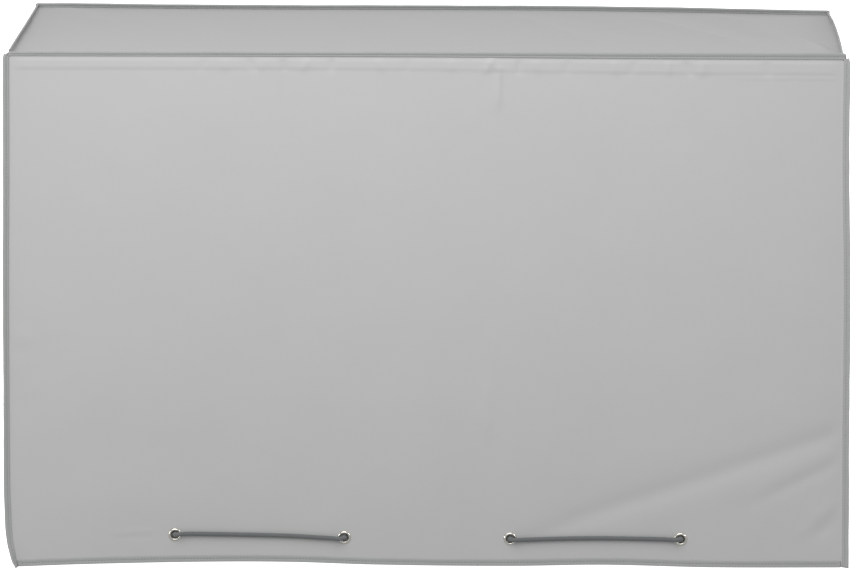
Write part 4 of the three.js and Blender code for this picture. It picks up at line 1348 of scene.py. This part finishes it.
def rolled_eyelet(cover):
    """An eyelet spun from its section: a rolled rim, its barrel and a flat washer behind."""
    hole, outside, leg = cover.eyelet_hole / 2, cover.eyelet_outside / 2, cover.leg
    centre, half = (hole + outside) / 2, (outside - hole) / 2
    turns = np.linspace(0, math.pi, 13)
    barrel, back, round_edge = hole + EYELET_WALL, -leg - WASHER, WASHER / 2
    section = [(centre + half * math.cos(turn), leg + RIM_HIGH * math.sin(turn)) for turn in turns]
    section += [(hole, back + round_edge), (hole + round_edge, back), (outside - round_edge, back)]
    section += [(outside, back + round_edge), (outside, -leg), (barrel, -leg), (barrel, leg)]
    bm = bmesh.new()
    verts = [bm.verts.new((radius * MM, 0, out * MM)) for radius, out in section]
    edges = [bm.edges.new((a, b)) for a, b in zip(verts, verts[1:] + verts[:1])]
    bmesh.ops.spin(
        bm, geom=verts + edges, cent=(0, 0, 0), axis=(0, 0, 1), angle=2 * math.pi, steps=EYELET_SIDES,
        use_merge=True,
    )
    return welded(bm)


class COVER_OT_drawcord(bpy.types.Operator):
    """Threads the elastic drawcord once round the hem, in and out of the eyelets"""

    bl_idname = "cover.drawcord"
    bl_label = "Thread the drawcord"

    def execute(self, context):
        _, cover, finish = workbench(context, braided_polyester_elastic, "elastic")
        points = smooth_loop(cover.cord_stations(), CORD_STEP)
        ahead = unit(np.roll(points, -1, axis=0) - np.roll(points, 1, axis=0))
        aside = unit(np.cross(ahead, [0, 0, 1.0]))
        above = np.cross(aside, ahead)
        steps = np.linalg.norm(np.roll(points, -1, axis=0) - points, axis=1)
        lengths = np.concatenate([[0], np.cumsum(steps)])
        radius = cover.cord / 2
        rounds = np.linspace(0, 2 * math.pi * radius, CORD_SIDES + 1)

        def place(x, y):
            at = np.rint(np.interp(x, lengths, np.arange(len(lengths)))).astype(int) % len(points)
            turn = (y / radius)[:, None]
            return points[at] + radius * (aside[at] * np.cos(turn) + above[at] * np.sin(turn))

        bm = welded(grid_sheet(lengths, rounds, place))
        finished("elastic_drawcord", bm, finish, ["drawcord"])
        print(f"drawcord length {lengths[-1]:.0f} mm")
        return {"FINISHED"}


class COVER_OT_studio(bpy.types.Operator):
    """Lays the floor, lights the cover softly and sets the camera at the picture's angle"""

    bl_idname = "cover.studio"
    bl_label = "Set the studio"

    def execute(self, context):
        studio = context.scene.cover_studio
        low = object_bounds()[0]
        bm = bmesh.new()
        bmesh.ops.create_circle(
            bm, cap_ends=True, segments=96, radius=FLOOR_RADIUS,
            matrix=Matrix.Translation((0, 0, low.z - studio.floor_below)),
        )
        mesh = bpy.data.meshes.new("floor")
        bm.to_mesh(mesh)
        bm.free()
        floor = bpy.data.objects.new("floor", mesh)
        mesh.materials.append(kept(matt_white_paper))
        context.scene.collection.objects.link(floor)
        floor.visible_diffuse = False
        floor.visible_glossy = False
        floor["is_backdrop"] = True
        context.scene.view_settings.view_transform = "Standard"

        world = bpy.data.worlds.new("white_room")
        world.use_nodes = True
        surround = world.node_tree.nodes["Background"].inputs
        surround["Color"].default_value = (1, 1, 1, 1)
        surround["Strength"].default_value = studio.sky
        context.scene.world = world

        aim = Vector(studio.aim)
        area_light(context, "key", aim, *KEY, studio.key)
        for name, place, size, power in FILLS:
            area_light(context, name, aim, place, size, power)
        for name, place, size in GLINTS:
            light = area_light(context, name, aim, place, size, studio.glint)
            light.visible_diffuse = False

        camera = bpy.data.cameras.new("camera")
        camera.lens = studio.lens
        camera.sensor_width = 36
        camera.clip_end = 60
        eye = bpy.data.objects.new("camera", camera)
        level = math.cos(studio.elevation)
        aside, away = math.sin(studio.turn) * level, -math.cos(studio.turn) * level
        back = Vector((aside, away, math.sin(studio.elevation)))
        eye.location = aim + back * studio.distance
        eye.rotation_euler = (-back).to_track_quat("-Z", "Y").to_euler()
        context.scene.collection.objects.link(eye)
        context.scene.camera = eye
        return {"FINISHED"}


def area_light(context, name, aim, place, size, power):
    """A large soft square light, placed from the point that it faces."""
    lamp = bpy.data.lights.new(name, "AREA")
    lamp.size = size
    lamp.energy = power
    light = bpy.data.objects.new(name, lamp)
    light.location = aim + Vector(place)
    light.rotation_euler = (-Vector(place)).to_track_quat("-Z", "Y").to_euler()
    context.scene.collection.objects.link(light)
    return light


class COVER_PT_cover(bpy.types.Panel):
    """Lists the steps that make the cover, with its sizes and colours"""

    bl_idname = "COVER_PT_cover"
    bl_label = "Air conditioner cover"
    bl_space_type = "VIEW_3D"
    bl_region_type = "UI"
    bl_category = "Cover"

    def draw(self, context):
        buttons = self.layout.column(align=True)
        for step in STEPS:
            buttons.operator(step.bl_idname)
        for group in (getattr(context.scene, name) for name in GROUPS):
            box = self.layout.box()
            for name in group.__annotations__:
                box.prop(group, name)


STEPS = (
    COVER_OT_panels,
    COVER_OT_seam_tapes,
    COVER_OT_hem_tapes,
    COVER_OT_stitches,
    COVER_OT_eyelets,
    COVER_OT_drawcord,
    COVER_OT_studio,
)
GROUPS = {"cover_sizes": CoverSizes, "cover_colours": CoverColours, "cover_studio": CoverStudio}


def register():
    for group in (*GROUPS.values(), *STEPS, COVER_PT_cover):
        bpy.utils.register_class(group)
    for name, group in GROUPS.items():
        setattr(bpy.types.Scene, name, bpy.props.PointerProperty(type=group))


def unregister():
    for name in GROUPS:
        delattr(bpy.types.Scene, name)
    for group in reversed((*GROUPS.values(), *STEPS, COVER_PT_cover)):
        bpy.utils.unregister_class(group)


def declare_sheets():
    """Builds the cover from the driving sizes, and does nothing more with it."""
    cover = Cover(bpy.context.scene.cover_sizes)


def main():
    register()
    bpy.ops.cover.panels()
    bpy.ops.cover.seam_tapes()
    bpy.ops.cover.hem_tapes()
    bpy.ops.cover.stitches()
    bpy.ops.cover.eyelets()
    bpy.ops.cover.drawcord()
    bpy.ops.cover.studio()
    declare_sheets()


if __name__ == "__main__":
    main()
